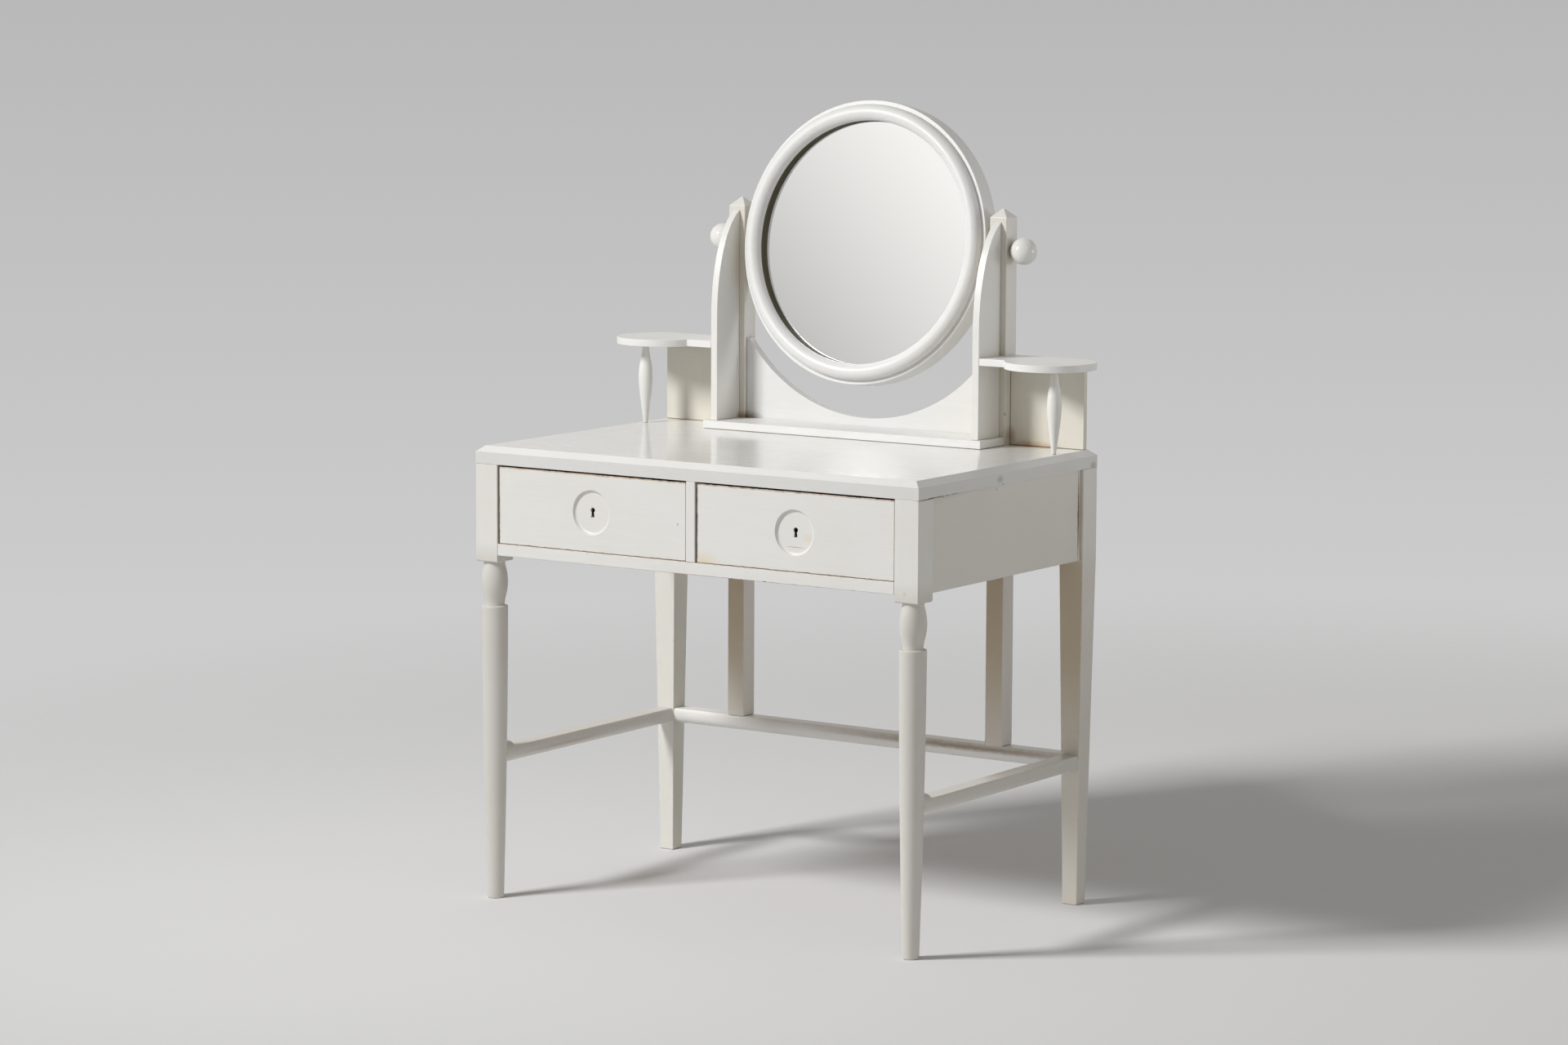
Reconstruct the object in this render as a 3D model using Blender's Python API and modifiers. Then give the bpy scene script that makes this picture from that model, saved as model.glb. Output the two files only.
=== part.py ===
"""Dressing table with two drawers, a tilting round mirror and two small side shelves.

Metres, +Z up, +X to the right of someone who sits at the table, -Y towards that person.
Every piece is laid out on a bench frame whose Y is zero at the table's front face. The
empty named table then moves that frame back, so the origin is under the middle of the
whole object's box, on the floor.
"""
import math

import bmesh
import bpy

# Clearances that many pieces share
FIT_GAP = 0.0003            # between two pieces that touch
OVERRUN = 0.004             # how far a cutter runs past the face that it opens
EDGE_EASE = 0.0008          # width of the sanded edge on flat pieces
EDGE_ANGLE = 40.0           # degrees from which an edge counts as sharp
MERGE_DISTANCE = 0.000003   # points closer than this are one point
PEG_SIDES = 12              # sides of small round holes, pegs and screws

# Table top
TABLE_HEIGHT = 0.760
TOP_WIDTH = 0.863
TOP_DEPTH = 0.553
TOP_THICKNESS = 0.029
TOP_CHAMFER_WIDTH = 0.012
TOP_CHAMFER_HEIGHT = 0.0095

# Drawer case under the top
OPENING_HEIGHT = 0.131
RAIL_HEIGHT = 0.020
DIVIDER_THICKNESS = 0.0175
PANEL_THICKNESS = 0.018
PANEL_RECESS = 0.005
BACK_PANEL_THICKNESS = 0.016
RUNNER_WIDTH = 0.040
GUIDE_HEIGHT = 0.018
GUIDE_GAP = 0.0005

# Joints between the case and the legs
TONGUE_THICKNESS = 0.006
TONGUE_DEPTH = 0.008
TONGUE_SHOULDER = 0.012
TENON_LENGTH = 0.012
TENON_HEIGHT = 0.010
TENON_SHOULDER = 0.010

# Front legs: a square block over a turned vase and a slim round shaft
BLOCK_SIZE = 0.044
BLOCK_DROP = 0.0125
BLOCK_ROUNDING = 0.003
NECK_RADIUS = 0.0165
VASE_LENGTH = 0.074
VASE_RADIUS = 0.022
COLLAR_LENGTH = 0.0065
COLLAR_BEVEL = 0.0015
SHAFT_RADIUS = 0.022
FOOT_RADIUS = 0.0135
SHAFT_BOW_SHARE = 0.7
SHAFT_RINGS = 10
LEG_SIDES = 28
# Each pair is a share of the vase's length from its top, and of its largest radius
VASE_SHARES = (
    (0.0, 0.79), (0.07, 0.80), (0.21, 0.905), (0.32, 0.966), (0.45, 1.0),
    (0.55, 0.991), (0.66, 0.943), (0.76, 0.870), (0.87, 0.785), (0.94, 0.75),
)

# Back legs: square, tapered below the case to a smaller square foot
BACK_LEG_SIZE = 0.0444
BACK_FOOT_SIZE = 0.0272

# Round stretchers between the legs, planed flat on top
STRETCHER_RADIUS = 0.017
STRETCHER_HEIGHT = 0.243
STRETCHER_FLAT_RISE = 0.0098
STRETCHER_ROUND_END = 0.036
PEG_RADIUS = 0.007
PEG_FRONT_LENGTH = 0.015
PEG_BACK_LENGTH = 0.0085
STRETCHER_SIDES = 24

# Mirror, measured from its axis: heights run towards the mirror's front
MIRROR_TILT = 8.0           # degrees that the top leans back at rest
MIRROR_FRONT = 0.0236
MIRROR_BACK = 0.0127
BEAD_RADIUS = 0.0137
BEAD_INSET = 0.0206         # from the outer rim to the middle of the bead
BEAD_LIFT = 0.0027          # middle of the bead above the front of the rim
BEAD_RINGS = 10
MIRROR_SIDES = 64
FRAME_WALL = 0.0269         # from the outer rim to the rebate
GLASS_SINK = 0.0091         # front of the glass behind the front of the rim
GLASS_THICKNESS = 0.004
GLASS_PLAY = 0.0006
BACKBOARD_THICKNESS = 0.005
BRAD_RADIUS = 0.0008
BRAD_LENGTH = 0.015
BRAD_DEPTH = 0.006
BRAD_COUNT = 3

# Posts that carry the mirror, with a low pyramid on top
MIRROR_SIDE_GAP = 0.0051
POST_FROM_EDGE = 0.1545     # outer face of a post inside the edge of the top
POST_WIDTH = 0.0325
POST_DEPTH = 0.034
POST_INSET = 0.006
POST_SHOULDER_RISE = 0.055
POST_POINT_HEIGHT = 0.0155

# Clamping knobs and their bolts
KNOB_RADIUS = 0.0225
KNOB_SEAT_RADIUS = 0.007
KNOB_COLLAR = 0.0018
KNOB_RINGS = 12
KNOB_SIDES = 32
BOLT_RADIUS = 0.004
BOLT_IN_KNOB = 0.014
BOLT_END_GAP = 0.0025       # between the bolt's end and the end of its insert
BORE_PLAY = 0.0004
INSERT_RADIUS = 0.006
INSERT_LENGTH = 0.018
INSERT_SINK = 0.0005
SPACER_RADIUS = 0.010

# Fins in front of the posts
FIN_THICKNESS = 0.012
FIN_DEPTH = 0.068
FIN_STRAIGHT_HEIGHT = 0.190
FIN_CURVE_DEPTH = 0.090
FIN_CURVE_HEIGHT = 0.185
FIN_RINGS = 16

# Plinth and crescent panel between the posts
PLINTH_HEIGHT = 0.0137
PLINTH_LEDGE = 0.0095
CRESCENT_GAP = 0.0556       # between the mirror's rim and the hollow
CRESCENT_WEB = 0.027        # lowest point of the hollow above the table top
CRESCENT_THICKNESS = 0.016
CRESCENT_SETBACK = 0.0075
CRESCENT_TIP_WIDTH = 0.007
CRESCENT_TIP_RISE = 0.0045
CRESCENT_TIP_ROUNDING = 0.0023
CRESCENT_RINGS = 40

# Side shelves, each on a back panel and a turned spindle
SHELF_RISE = 0.1372
SHELF_THICKNESS = 0.012
SHELF_RADIUS = 0.076
SHELF_BACK_CUT = 0.006      # how far the straight back edge cuts into the round end
SHELF_RINGS = 36
SHELF_BACK_THICKNESS = 0.010
SHELF_BACK_MARGIN = 0.001
SPINDLE_OUT = 0.0192
SPINDLE_FORWARD = 0.0187
SPINDLE_RADIUS = 0.012
SPINDLE_SIDES = 20
SPINDLE_PEG_RADIUS = 0.003
SPINDLE_PEG_LENGTH = 0.008
# Each pair is a share of the spindle's length from its top, and of its largest radius
SPINDLE_SHARES = (
    (0.0, 0.43), (0.06, 0.49), (0.12, 0.58), (0.21, 0.75), (0.29, 0.90), (0.36, 0.975),
    (0.445, 1.0), (0.576, 0.92), (0.675, 0.78), (0.79, 0.61), (0.90, 0.45), (1.0, 0.30),
)

# Drawers
DRAWER_RECESS = 0.0028
DRAWER_SIDE_GAP = 0.0025
DRAWER_TOP_GAP = 0.003
DRAWER_BOTTOM_GAP = 0.0006
DRAWER_BACK_GAP = 0.0339    # free space behind a closed drawer
DRAWER_FRONT_THICKNESS = 0.020
DRAWER_LAP = 0.010
DRAWER_WALL = 0.011
DRAWER_SIDE_INSET = 0.001
DRAWER_SIDE_DROP = 0.006
DRAWER_BACK_DROP = 0.010
DRAWER_BOTTOM_THICKNESS = 0.005
DRAWER_BOTTOM_RISE = 0.007
DRAWER_GROOVE = 0.005
STOP_WIDTH = 0.025
STOP_DEPTH = 0.016
STOP_CLEARANCE = 0.0012

# Round recess with a keyhole in each drawer front, and the lock behind it
RECESS_RADIUS = 0.0365
RECESS_FLOOR_RADIUS = 0.0325
RECESS_DEPTH = 0.0045
RECESS_RISE_LEFT = 0.0008   # from the middle of the drawer front to the keyhole
RECESS_RISE_RIGHT = -0.0014
RECESS_SIDES = 48
KEYHOLE_RADIUS = 0.00425
KEYHOLE_HEIGHT = 0.016
KEYHOLE_WAIST = 0.0045
KEYHOLE_FOOT = 0.007
KEYHOLE_RINGS = 12
LOCK_WIDTH = 0.046
LOCK_DROP = 0.022
LOCK_TOP_MARGIN = 0.010
LOCK_DEPTH = 0.011
LOCK_WALL = 0.0025
LOCK_WELL_RADIUS = 0.006
LOCK_PIN_RADIUS = 0.0015
LOCK_BOLT_WIDTH = 0.014
LOCK_BOLT_THICKNESS = 0.004
LOCK_BOLT_LENGTH = 0.034
LOCK_BOLT_SINK = 0.0015
LOCK_BOLT_TRAVEL = 0.010
LOCK_BOLT_PLAY = 0.0004
LOCK_POCKET_PLAY = 0.001

# Screws through the posts into the back panel
SCREW_RADIUS = 0.002
SCREW_HEAD_RADIUS = 0.0042
SCREW_HEAD_HEIGHT = 0.003
SCREW_LENGTH = 0.045

# Levels and places that follow from the sizes above
UNDERSIDE = TABLE_HEIGHT - TOP_THICKNESS
CASE_TOP = UNDERSIDE - FIT_GAP
OPENING_BOTTOM = UNDERSIDE - OPENING_HEIGHT
CASE_BOTTOM = OPENING_BOTTOM - RAIL_HEIGHT
BLOCK_BOTTOM = CASE_BOTTOM - BLOCK_DROP
SHAFT_TOP = BLOCK_BOTTOM - VASE_LENGTH - COLLAR_LENGTH
FRONT_LEG_X = (TOP_WIDTH - BLOCK_SIZE) / 2
FRONT_LEG_Y = BLOCK_SIZE / 2
BLOCK_INNER = TOP_WIDTH / 2 - BLOCK_SIZE
BACK_LEG_X = (TOP_WIDTH - BACK_LEG_SIZE) / 2
BACK_LEG_Y = TOP_DEPTH - BACK_LEG_SIZE / 2
BACK_LEG_FRONT = TOP_DEPTH - BACK_LEG_SIZE
PANEL_OUTER = TOP_WIDTH / 2 - PANEL_RECESS
PANEL_INNER = PANEL_OUTER - PANEL_THICKNESS
POST_OUTER = TOP_WIDTH / 2 - POST_FROM_EDGE
POST_INNER = POST_OUTER - POST_WIDTH
POST_X = (POST_INNER + POST_OUTER) / 2
POST_BACK = TOP_DEPTH - POST_INSET
POST_FRONT = POST_BACK - POST_DEPTH
AXIS_Y = (POST_FRONT + POST_BACK) / 2
MIRROR_RADIUS = POST_INNER - MIRROR_SIDE_GAP
CRESCENT_RADIUS = MIRROR_RADIUS + CRESCENT_GAP
AXIS_HEIGHT = TABLE_HEIGHT + CRESCENT_WEB + CRESCENT_RADIUS
BEAD_CENTRE_RADIUS = MIRROR_RADIUS - BEAD_INSET
BEAD_CENTRE_RISE = MIRROR_FRONT + BEAD_LIFT
REBATE_RADIUS = MIRROR_RADIUS - FRAME_WALL
GLASS_FRONT = MIRROR_FRONT - GLASS_SINK
KNOB_SEAT_DROP = math.sqrt(KNOB_RADIUS**2 - KNOB_SEAT_RADIUS**2)
KNOB_REACH = FIT_GAP + KNOB_COLLAR + KNOB_SEAT_DROP
BOLT_IN_FRAME = INSERT_SINK + INSERT_LENGTH - BOLT_END_GAP
BACK_PANEL_FRONT = POST_FRONT - FIT_GAP - BACK_PANEL_THICKNESS
STRETCHER_FLAT = STRETCHER_HEIGHT + STRETCHER_FLAT_RISE
FIN_FRONT = POST_FRONT - FIN_DEPTH
CRESCENT_FRONT = POST_FRONT + CRESCENT_SETBACK
SHELF_BACK_Y = TOP_DEPTH - TOP_CHAMFER_WIDTH - SHELF_BACK_MARGIN
SHELF_BACK_OUTER = TOP_WIDTH / 2 - TOP_CHAMFER_WIDTH - SHELF_BACK_MARGIN
SHELF_UNDERSIDE = TABLE_HEIGHT + SHELF_RISE
SHELF_CENTRE_FROM_BACK = SHELF_RADIUS - SHELF_BACK_CUT
SHELF_CENTRE_Y = SHELF_BACK_Y - SHELF_CENTRE_FROM_BACK
SHELF_CENTRE_X = SHELF_BACK_OUTER - math.sqrt(SHELF_RADIUS**2 - SHELF_CENTRE_FROM_BACK**2)
SPINDLE_X = SHELF_CENTRE_X + SPINDLE_OUT
SPINDLE_Y = SHELF_CENTRE_Y - SPINDLE_FORWARD
GLASS_BACK = GLASS_FRONT - GLASS_THICKNESS
BACKBOARD_FRONT = GLASS_BACK - FIT_GAP
BACKBOARD_BACK = BACKBOARD_FRONT - BACKBOARD_THICKNESS
DRAWER_INNER_END = DIVIDER_THICKNESS / 2 + DRAWER_SIDE_GAP
DRAWER_OUTER_END = BLOCK_INNER - DRAWER_SIDE_GAP
DRAWER_X = (DRAWER_INNER_END + DRAWER_OUTER_END) / 2
DRAWER_BASE = OPENING_BOTTOM + DRAWER_BOTTOM_GAP
DRAWER_TOP = UNDERSIDE - DRAWER_TOP_GAP
DRAWER_SIDE_BASE = OPENING_BOTTOM + FIT_GAP
DRAWER_FRONT_BACK = DRAWER_RECESS + DRAWER_FRONT_THICKNESS
DRAWER_SIDE_START = DRAWER_RECESS + DRAWER_LAP
DRAWER_END = BACK_PANEL_FRONT - DRAWER_BACK_GAP
PANEL_SEAT = DRAWER_SIDE_BASE + DRAWER_BOTTOM_RISE
DRAWER_MIDDLE = (DRAWER_BASE + DRAWER_TOP) / 2
KEYHOLE_Z = {"left": DRAWER_MIDDLE + RECESS_RISE_LEFT,
             "right": DRAWER_MIDDLE + RECESS_RISE_RIGHT}
LOCK_FRONT = DRAWER_FRONT_BACK + FIT_GAP
LOCK_TOP = DRAWER_TOP - LOCK_TOP_MARGIN
LOCK_BOLT_TOP = DRAWER_TOP - LOCK_BOLT_SINK
LOCK_BOLT_Y = LOCK_FRONT + LOCK_WALL + LOCK_BOLT_PLAY
TILT = math.radians(MIRROR_TILT)
OVERALL_DEPTH = AXIS_Y + MIRROR_RADIUS * math.sin(TILT) + MIRROR_BACK * math.cos(TILT)
SIDES = ((-1, "left"), (1, "right"))
QUARTER = math.pi / 2
# Turns that point a piece's own Z up, to a side, to the front or to the back; a slab
# turned "side" has its outline in Y and Z
TURN = {"up": (0, 0, 0), "front": (QUARTER, 0, 0), "back": (-QUARTER, 0, 0),
        "left": (0, -QUARTER, 0), "right": (0, QUARTER, 0), "side": (QUARTER, 0, QUARTER)}

# Colour, roughness and metallic value of each finish
FINISHES = {
    "old_paint": ((0.78, 0.76, 0.70), 0.38, 0.0),
    "top_paint": ((0.80, 0.79, 0.75), 0.22, 0.0),
    "gloss_paint": ((0.80, 0.78, 0.72), 0.15, 0.0),
    "bare_wood": ((0.50, 0.33, 0.18), 0.60, 0.0),
    "plywood": ((0.56, 0.40, 0.24), 0.65, 0.0),
    "mirror": ((0.86, 0.86, 0.84), 0.03, 1.0),
    "brass": ((0.62, 0.45, 0.20), 0.35, 1.0),
    "steel": ((0.42, 0.41, 0.39), 0.40, 1.0),
}


def clear_scene():
    """Remove every object, so the script can run twice in one file."""
    for obj in list(bpy.data.objects):
        bpy.data.objects.remove(obj, do_unlink=True)


def new_collection(name):
    """Collection of that name in the scene."""
    collection = bpy.data.collections.new(name)
    bpy.context.scene.collection.children.link(collection)
    return collection


def finish_material(name, finish):
    """Principled material of one piece, from the table of finishes."""
    colour, roughness, metallic = FINISHES[finish]
    material = bpy.data.materials.new(name + "_finish")
    material.use_nodes = True
    shader = material.node_tree.nodes["Principled BSDF"]
    shader.inputs["Base Color"].default_value = (*colour, 1)
    shader.inputs["Roughness"].default_value = roughness
    shader.inputs["Metallic"].default_value = metallic
    material.diffuse_color = (*colour, 1)
    return material


class Bench:
    """Collections for pieces and cutters, and the empty that new objects go under."""

    def __init__(self):
        self.parts = new_collection("dressing_table")
        self.cutters = new_collection("cutters")
        self.parent = None

    def empty(self, name, location, parent=None, rotation=(0, 0, 0)):
        """Empty that carries pieces and moves them together."""
        marker = bpy.data.objects.new(name, None)
        marker.empty_display_size = KNOB_RADIUS
        marker.location = location
        marker.rotation_euler = rotation
        marker.parent = parent
        self.parts.objects.link(marker)
        return marker

    def place(self, name, mesh, finish, location=(0, 0, 0), turn="up"):
        """Make an object of a mesh: a piece where it has a finish, or else a cutter."""
        obj = bpy.data.objects.new(name, mesh)
        obj.location = location
        obj.rotation_euler = TURN[turn]
        obj.parent = self.parent
        if finish:
            mesh.materials.append(finish_material(name, finish))
            self.parts.objects.link(obj)
        else:
            obj.hide_render = True
            obj.display_type = "WIRE"
            self.cutters.objects.link(obj)
        return obj

    def block(self, name, x, y, z, finish=None):
        """Box between two values of x, of y and of z."""
        spans = [sorted(pair) for pair in (x, y, z)]
        size = [high - low for low, high in spans]
        middle = [(low + high) / 2 for low, high in spans]
        shape = bmesh.new()
        bmesh.ops.create_cube(shape, size=1)
        bmesh.ops.scale(shape, vec=size, verts=shape.verts)
        return self.place(name, to_mesh(name, shape), finish, middle)

    def turned(self, name, profile, steps, finish=None, location=(0, 0, 0), turn="up",
               closed=False):
        """Turn a profile of radius and height, written top to bottom, round its axis."""
        mesh = bpy.data.meshes.new(name)
        points = [(radius, 0, height) for radius, height in profile]
        edges = [(i, i + 1) for i in range(len(points) - 1)]
        if closed:
            edges.append((len(points) - 1, 0))
        mesh.from_pydata(points, edges, [])
        obj = self.place(name, mesh, finish, location, turn)
        screw = obj.modifiers.new("turned", "SCREW")
        screw.steps = screw.render_steps = steps
        screw.use_merge_vertices = True
        screw.merge_threshold = MERGE_DISTANCE
        screw.use_smooth_shade = True
        return obj

    def rod(self, name, radius, length, location, turn, finish=None, steps=PEG_SIDES):
        """Round bar from its location along its turn."""
        profile = [(0, length), (radius, length), (radius, 0), (0, 0)]
        return self.turned(name, profile, steps, finish, location, turn)

    def tube(self, name, radius, bore, length, location, turn, finish, steps=PEG_SIDES):
        """Round tube from its location along its turn."""
        profile = [(bore, length), (radius, length), (radius, 0), (bore, 0)]
        return self.turned(name, profile, steps, finish, location, turn, closed=True)

    def slab(self, name, outline, thickness, location, turn, finish=None):
        """Flat outline with a thickness, centred on its own plane."""
        curve = bpy.data.curves.new(name + "_outline", "CURVE")
        curve.dimensions = "2D"
        curve.fill_mode = "BOTH"
        curve.extrude = thickness / 2
        spline = curve.splines.new("POLY")
        spline.points.add(len(outline) - 1)
        for point, (across, along) in zip(spline.points, outline):
            point.co = (across, along, 0, 1)
        spline.use_cyclic_u = True
        flat = bpy.data.objects.new(name + "_outline", curve)
        self.cutters.objects.link(flat)
        graph = bpy.context.evaluated_depsgraph_get()
        mesh = bpy.data.meshes.new_from_object(flat.evaluated_get(graph))
        bpy.data.objects.remove(flat, do_unlink=True)
        shape = bmesh.new()
        shape.from_mesh(mesh)
        bmesh.ops.remove_doubles(shape, verts=shape.verts, dist=MERGE_DISTANCE)
        bmesh.ops.recalc_face_normals(shape, faces=shape.faces)
        shape.to_mesh(mesh)
        shape.free()
        mesh.materials.clear()
        return self.place(name, mesh, finish, location, turn)


def to_mesh(name, shape):
    """Mesh of a finished shape, which is freed."""
    mesh = bpy.data.meshes.new(name)
    shape.to_mesh(mesh)
    shape.free()
    return mesh


def boolean(obj, tool, operation):
    """Cut the tool out of an object, or join the tool to it."""
    modifier = obj.modifiers.new(tool.name, "BOOLEAN")
    modifier.operation = operation
    modifier.solver = "EXACT"
    modifier.object = tool
    return obj


def cut(obj, *tools):
    """Cut several tools out of an object."""
    for tool in tools:
        boolean(obj, tool, "DIFFERENCE")
    return obj


def join(obj, *tools):
    """Join several tools to an object."""
    for tool in tools:
        boolean(obj, tool, "UNION")
    return obj


def ease(obj, width=EDGE_EASE, segments=1):
    """Break the sharp edges of a piece with a narrow bevel."""
    bevel = obj.modifiers.new("eased", "BEVEL")
    bevel.width = width
    bevel.segments = segments
    bevel.limit_method = "ANGLE"
    bevel.angle_limit = math.radians(EDGE_ANGLE)
    return obj


def trim(obj, point, normal):
    """Slice off what lies beyond a plane and close the cut; the mesh isn't turned."""
    local = [p - o for p, o in zip(point, obj.location)]
    shape = bmesh.new()
    shape.from_mesh(obj.data)
    geometry = shape.verts[:] + shape.edges[:] + shape.faces[:]
    sliced = bmesh.ops.bisect_plane(shape, geom=geometry, plane_co=local, plane_no=normal,
                                    clear_outer=True)
    rim = [item for item in sliced["geom_cut"] if isinstance(item, bmesh.types.BMEdge)]
    bmesh.ops.contextual_create(shape, geom=rim)
    bmesh.ops.recalc_face_normals(shape, faces=shape.faces)
    shape.to_mesh(obj.data)
    shape.free()


def grown(span, gap=FIT_GAP):
    """Span widened by a gap at both ends."""
    low, high = sorted(span)
    return (low - gap, high + gap)


def arc(centre, radius, start, end, count):
    """Points along an arc from one angle to another, in degrees, ends included."""
    points = []
    for i in range(count + 1):
        angle = math.radians(start + (end - start) * i / count)
        points.append((centre[0] + radius * math.cos(angle),
                       centre[1] + radius * math.sin(angle)))
    return points


def chamfer_top(board):
    """Plane the four upper edges of the table top at a flat angle."""
    half_width = TOP_WIDTH / 2
    half_depth = TOP_DEPTH / 2
    edge_height = TABLE_HEIGHT - TOP_CHAMFER_HEIGHT
    for sign in (-1, 1):
        side = (sign * half_width, half_depth, edge_height)
        trim(board, side, (sign * TOP_CHAMFER_HEIGHT, 0, TOP_CHAMFER_WIDTH))
        end = (0, half_depth + sign * half_depth, edge_height)
        trim(board, end, (0, sign * TOP_CHAMFER_HEIGHT, TOP_CHAMFER_WIDTH))


def table_top(bench):
    """Board with notches for the posts, pockets for the lock bolts and spindle holes."""
    board = bench.block("table_top", (-TOP_WIDTH / 2, TOP_WIDTH / 2), (0, TOP_DEPTH),
                        (UNDERSIDE, TABLE_HEIGHT), "top_paint")
    chamfer_top(board)
    through = (UNDERSIDE - OVERRUN, TABLE_HEIGHT + OVERRUN)
    for side, word in SIDES:
        cut(board, bench.block("cut_notch_" + word,
                               grown((side * POST_INNER, side * POST_OUTER)),
                               (POST_FRONT - FIT_GAP, TOP_DEPTH + OVERRUN), through))
        middle = side * DRAWER_X
        reach = LOCK_BOLT_WIDTH / 2 + LOCK_POCKET_PLAY
        bolt_y = (LOCK_BOLT_Y, LOCK_BOLT_Y + LOCK_BOLT_THICKNESS)
        pocket_top = LOCK_BOLT_TOP + LOCK_BOLT_TRAVEL + LOCK_POCKET_PLAY
        cut(board, bench.block("cut_bolt_pocket_" + word, (middle - reach, middle + reach),
                               grown(bolt_y, LOCK_POCKET_PLAY),
                               (UNDERSIDE - OVERRUN, pocket_top)))
        depth = SPINDLE_PEG_LENGTH + FIT_GAP
        cut(board, bench.rod("cut_spindle_foot_" + word, SPINDLE_PEG_RADIUS + FIT_GAP,
                             depth + OVERRUN,
                             (side * SPINDLE_X, SPINDLE_Y, TABLE_HEIGHT - depth), "up"))


def vase_profile():
    """Turned vase from inside the block down to the top of the collar."""
    points = [(0, BLOCK_BOTTOM + OVERRUN), (NECK_RADIUS, BLOCK_BOTTOM + OVERRUN)]
    for down_share, radius_share in VASE_SHARES:
        points.append((radius_share * VASE_RADIUS, BLOCK_BOTTOM - down_share * VASE_LENGTH))
    collar_top = BLOCK_BOTTOM - VASE_LENGTH
    points.append((NECK_RADIUS, collar_top))
    points.append((SHAFT_RADIUS - 2 * COLLAR_BEVEL, collar_top))
    points.append((SHAFT_RADIUS, collar_top - COLLAR_BEVEL))
    return points


def shaft_radius(height):
    """Radius of the bowed shaft at a height above the floor."""
    share = height / SHAFT_TOP
    return FOOT_RADIUS + (SHAFT_RADIUS - FOOT_RADIUS) * (
        share + SHAFT_BOW_SHARE * share * (1 - share))


def shaft_profile():
    """Radius and height of the shaft's rings, top to bottom."""
    levels = [SHAFT_TOP * (1 - i / SHAFT_RINGS) for i in range(SHAFT_RINGS + 1)]
    return [(shaft_radius(level), level) for level in levels]


def front_leg(bench, side, word):
    """Square block with a turned leg, mortised for the rail, the panel and a stretcher."""
    x = side * FRONT_LEG_X
    block_x = (side * BLOCK_INNER, side * TOP_WIDTH / 2)
    leg = bench.block("front_leg_" + word, block_x, (0, BLOCK_SIZE),
                      (BLOCK_BOTTOM, CASE_TOP), "old_paint")
    round_foot(leg)
    ease(leg)
    profile = vase_profile() + shaft_profile() + [(0, 0)]
    turning = bench.turned("join_turning_" + word, profile, LEG_SIDES,
                           location=(x, FRONT_LEG_Y, 0))
    join(leg, turning)
    rail_tenon = (side * (BLOCK_INNER - OVERRUN),
                  side * (BLOCK_INNER + TENON_LENGTH + FIT_GAP))
    cut(leg, bench.block("cut_rail_mortise_" + word, rail_tenon, grown(rail_tenon_y()),
                         grown(rail_tenon_z())))
    cut(leg, bench.block("cut_front_groove_" + word, grown(tongue_x(side)),
                         (BLOCK_SIZE - TONGUE_DEPTH - FIT_GAP, BLOCK_SIZE + OVERRUN),
                         grown(tongue_z())))
    socket_start = FRONT_LEG_Y + shaft_radius(STRETCHER_HEIGHT) - PEG_FRONT_LENGTH - FIT_GAP
    cut(leg, bench.rod("cut_front_socket_" + word, PEG_RADIUS + FIT_GAP,
                       PEG_FRONT_LENGTH + OVERRUN, (x, socket_start + PEG_FRONT_LENGTH
                                                    + OVERRUN, STRETCHER_HEIGHT), "front"))


def round_foot(block):
    """Round the lower edges of a leg's square block."""
    shape = bmesh.new()
    shape.from_mesh(block.data)
    lowest = min(vert.co.z for vert in shape.verts) + FIT_GAP
    edges = [edge for edge in shape.edges if all(v.co.z < lowest for v in edge.verts)]
    bmesh.ops.bevel(shape, geom=edges, offset=BLOCK_ROUNDING, segments=2, affect="EDGES")
    shape.to_mesh(block.data)
    shape.free()


def tongue_x(side):
    """Span of the side panel's tongue across the panel's thickness."""
    middle = side * (PANEL_OUTER + PANEL_INNER) / 2
    return (middle - TONGUE_THICKNESS / 2, middle + TONGUE_THICKNESS / 2)


def tongue_z():
    """Span of the side panel's tongue in height."""
    return (CASE_BOTTOM + TONGUE_SHOULDER, CASE_TOP - TONGUE_SHOULDER)


def rail_tenon_y():
    """Span of the rail's tenon from front to back."""
    return (TENON_SHOULDER, BLOCK_SIZE - TENON_SHOULDER)


def rail_tenon_z():
    """Span of the rail's tenon in height."""
    middle = (CASE_BOTTOM + OPENING_BOTTOM) / 2
    return (middle - TENON_HEIGHT / 2, middle + TENON_HEIGHT / 2)


def back_leg_half(height, gap=0):
    """Half the width of the tapered back leg at a height, plus a gap."""
    share = min(height / CASE_BOTTOM, 1)
    return (BACK_FOOT_SIZE + (BACK_LEG_SIZE - BACK_FOOT_SIZE) * share) / 2 + gap


def back_leg_shape(bench, name, side, finish=None, gap=0):
    """Square leg, tapered on all four sides below the case."""
    x = side * BACK_LEG_X
    reach = BACK_LEG_SIZE / 2 + gap
    leg = bench.block(name, (x - reach, x + reach), (BACK_LEG_Y - reach, BACK_LEG_Y + reach),
                      (0, CASE_TOP), finish)
    shape = bmesh.new()
    shape.from_mesh(leg.data)
    geometry = shape.verts[:] + shape.edges[:] + shape.faces[:]
    middle = CASE_BOTTOM - leg.location.z
    bmesh.ops.bisect_plane(shape, geom=geometry, plane_co=(0, 0, middle), plane_no=(0, 0, 1))
    narrowing = back_leg_half(0, gap) / reach
    for vert in shape.verts:
        if vert.co.z < middle - FIT_GAP:
            vert.co.x *= narrowing
            vert.co.y *= narrowing
    shape.to_mesh(leg.data)
    shape.free()
    return leg


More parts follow.
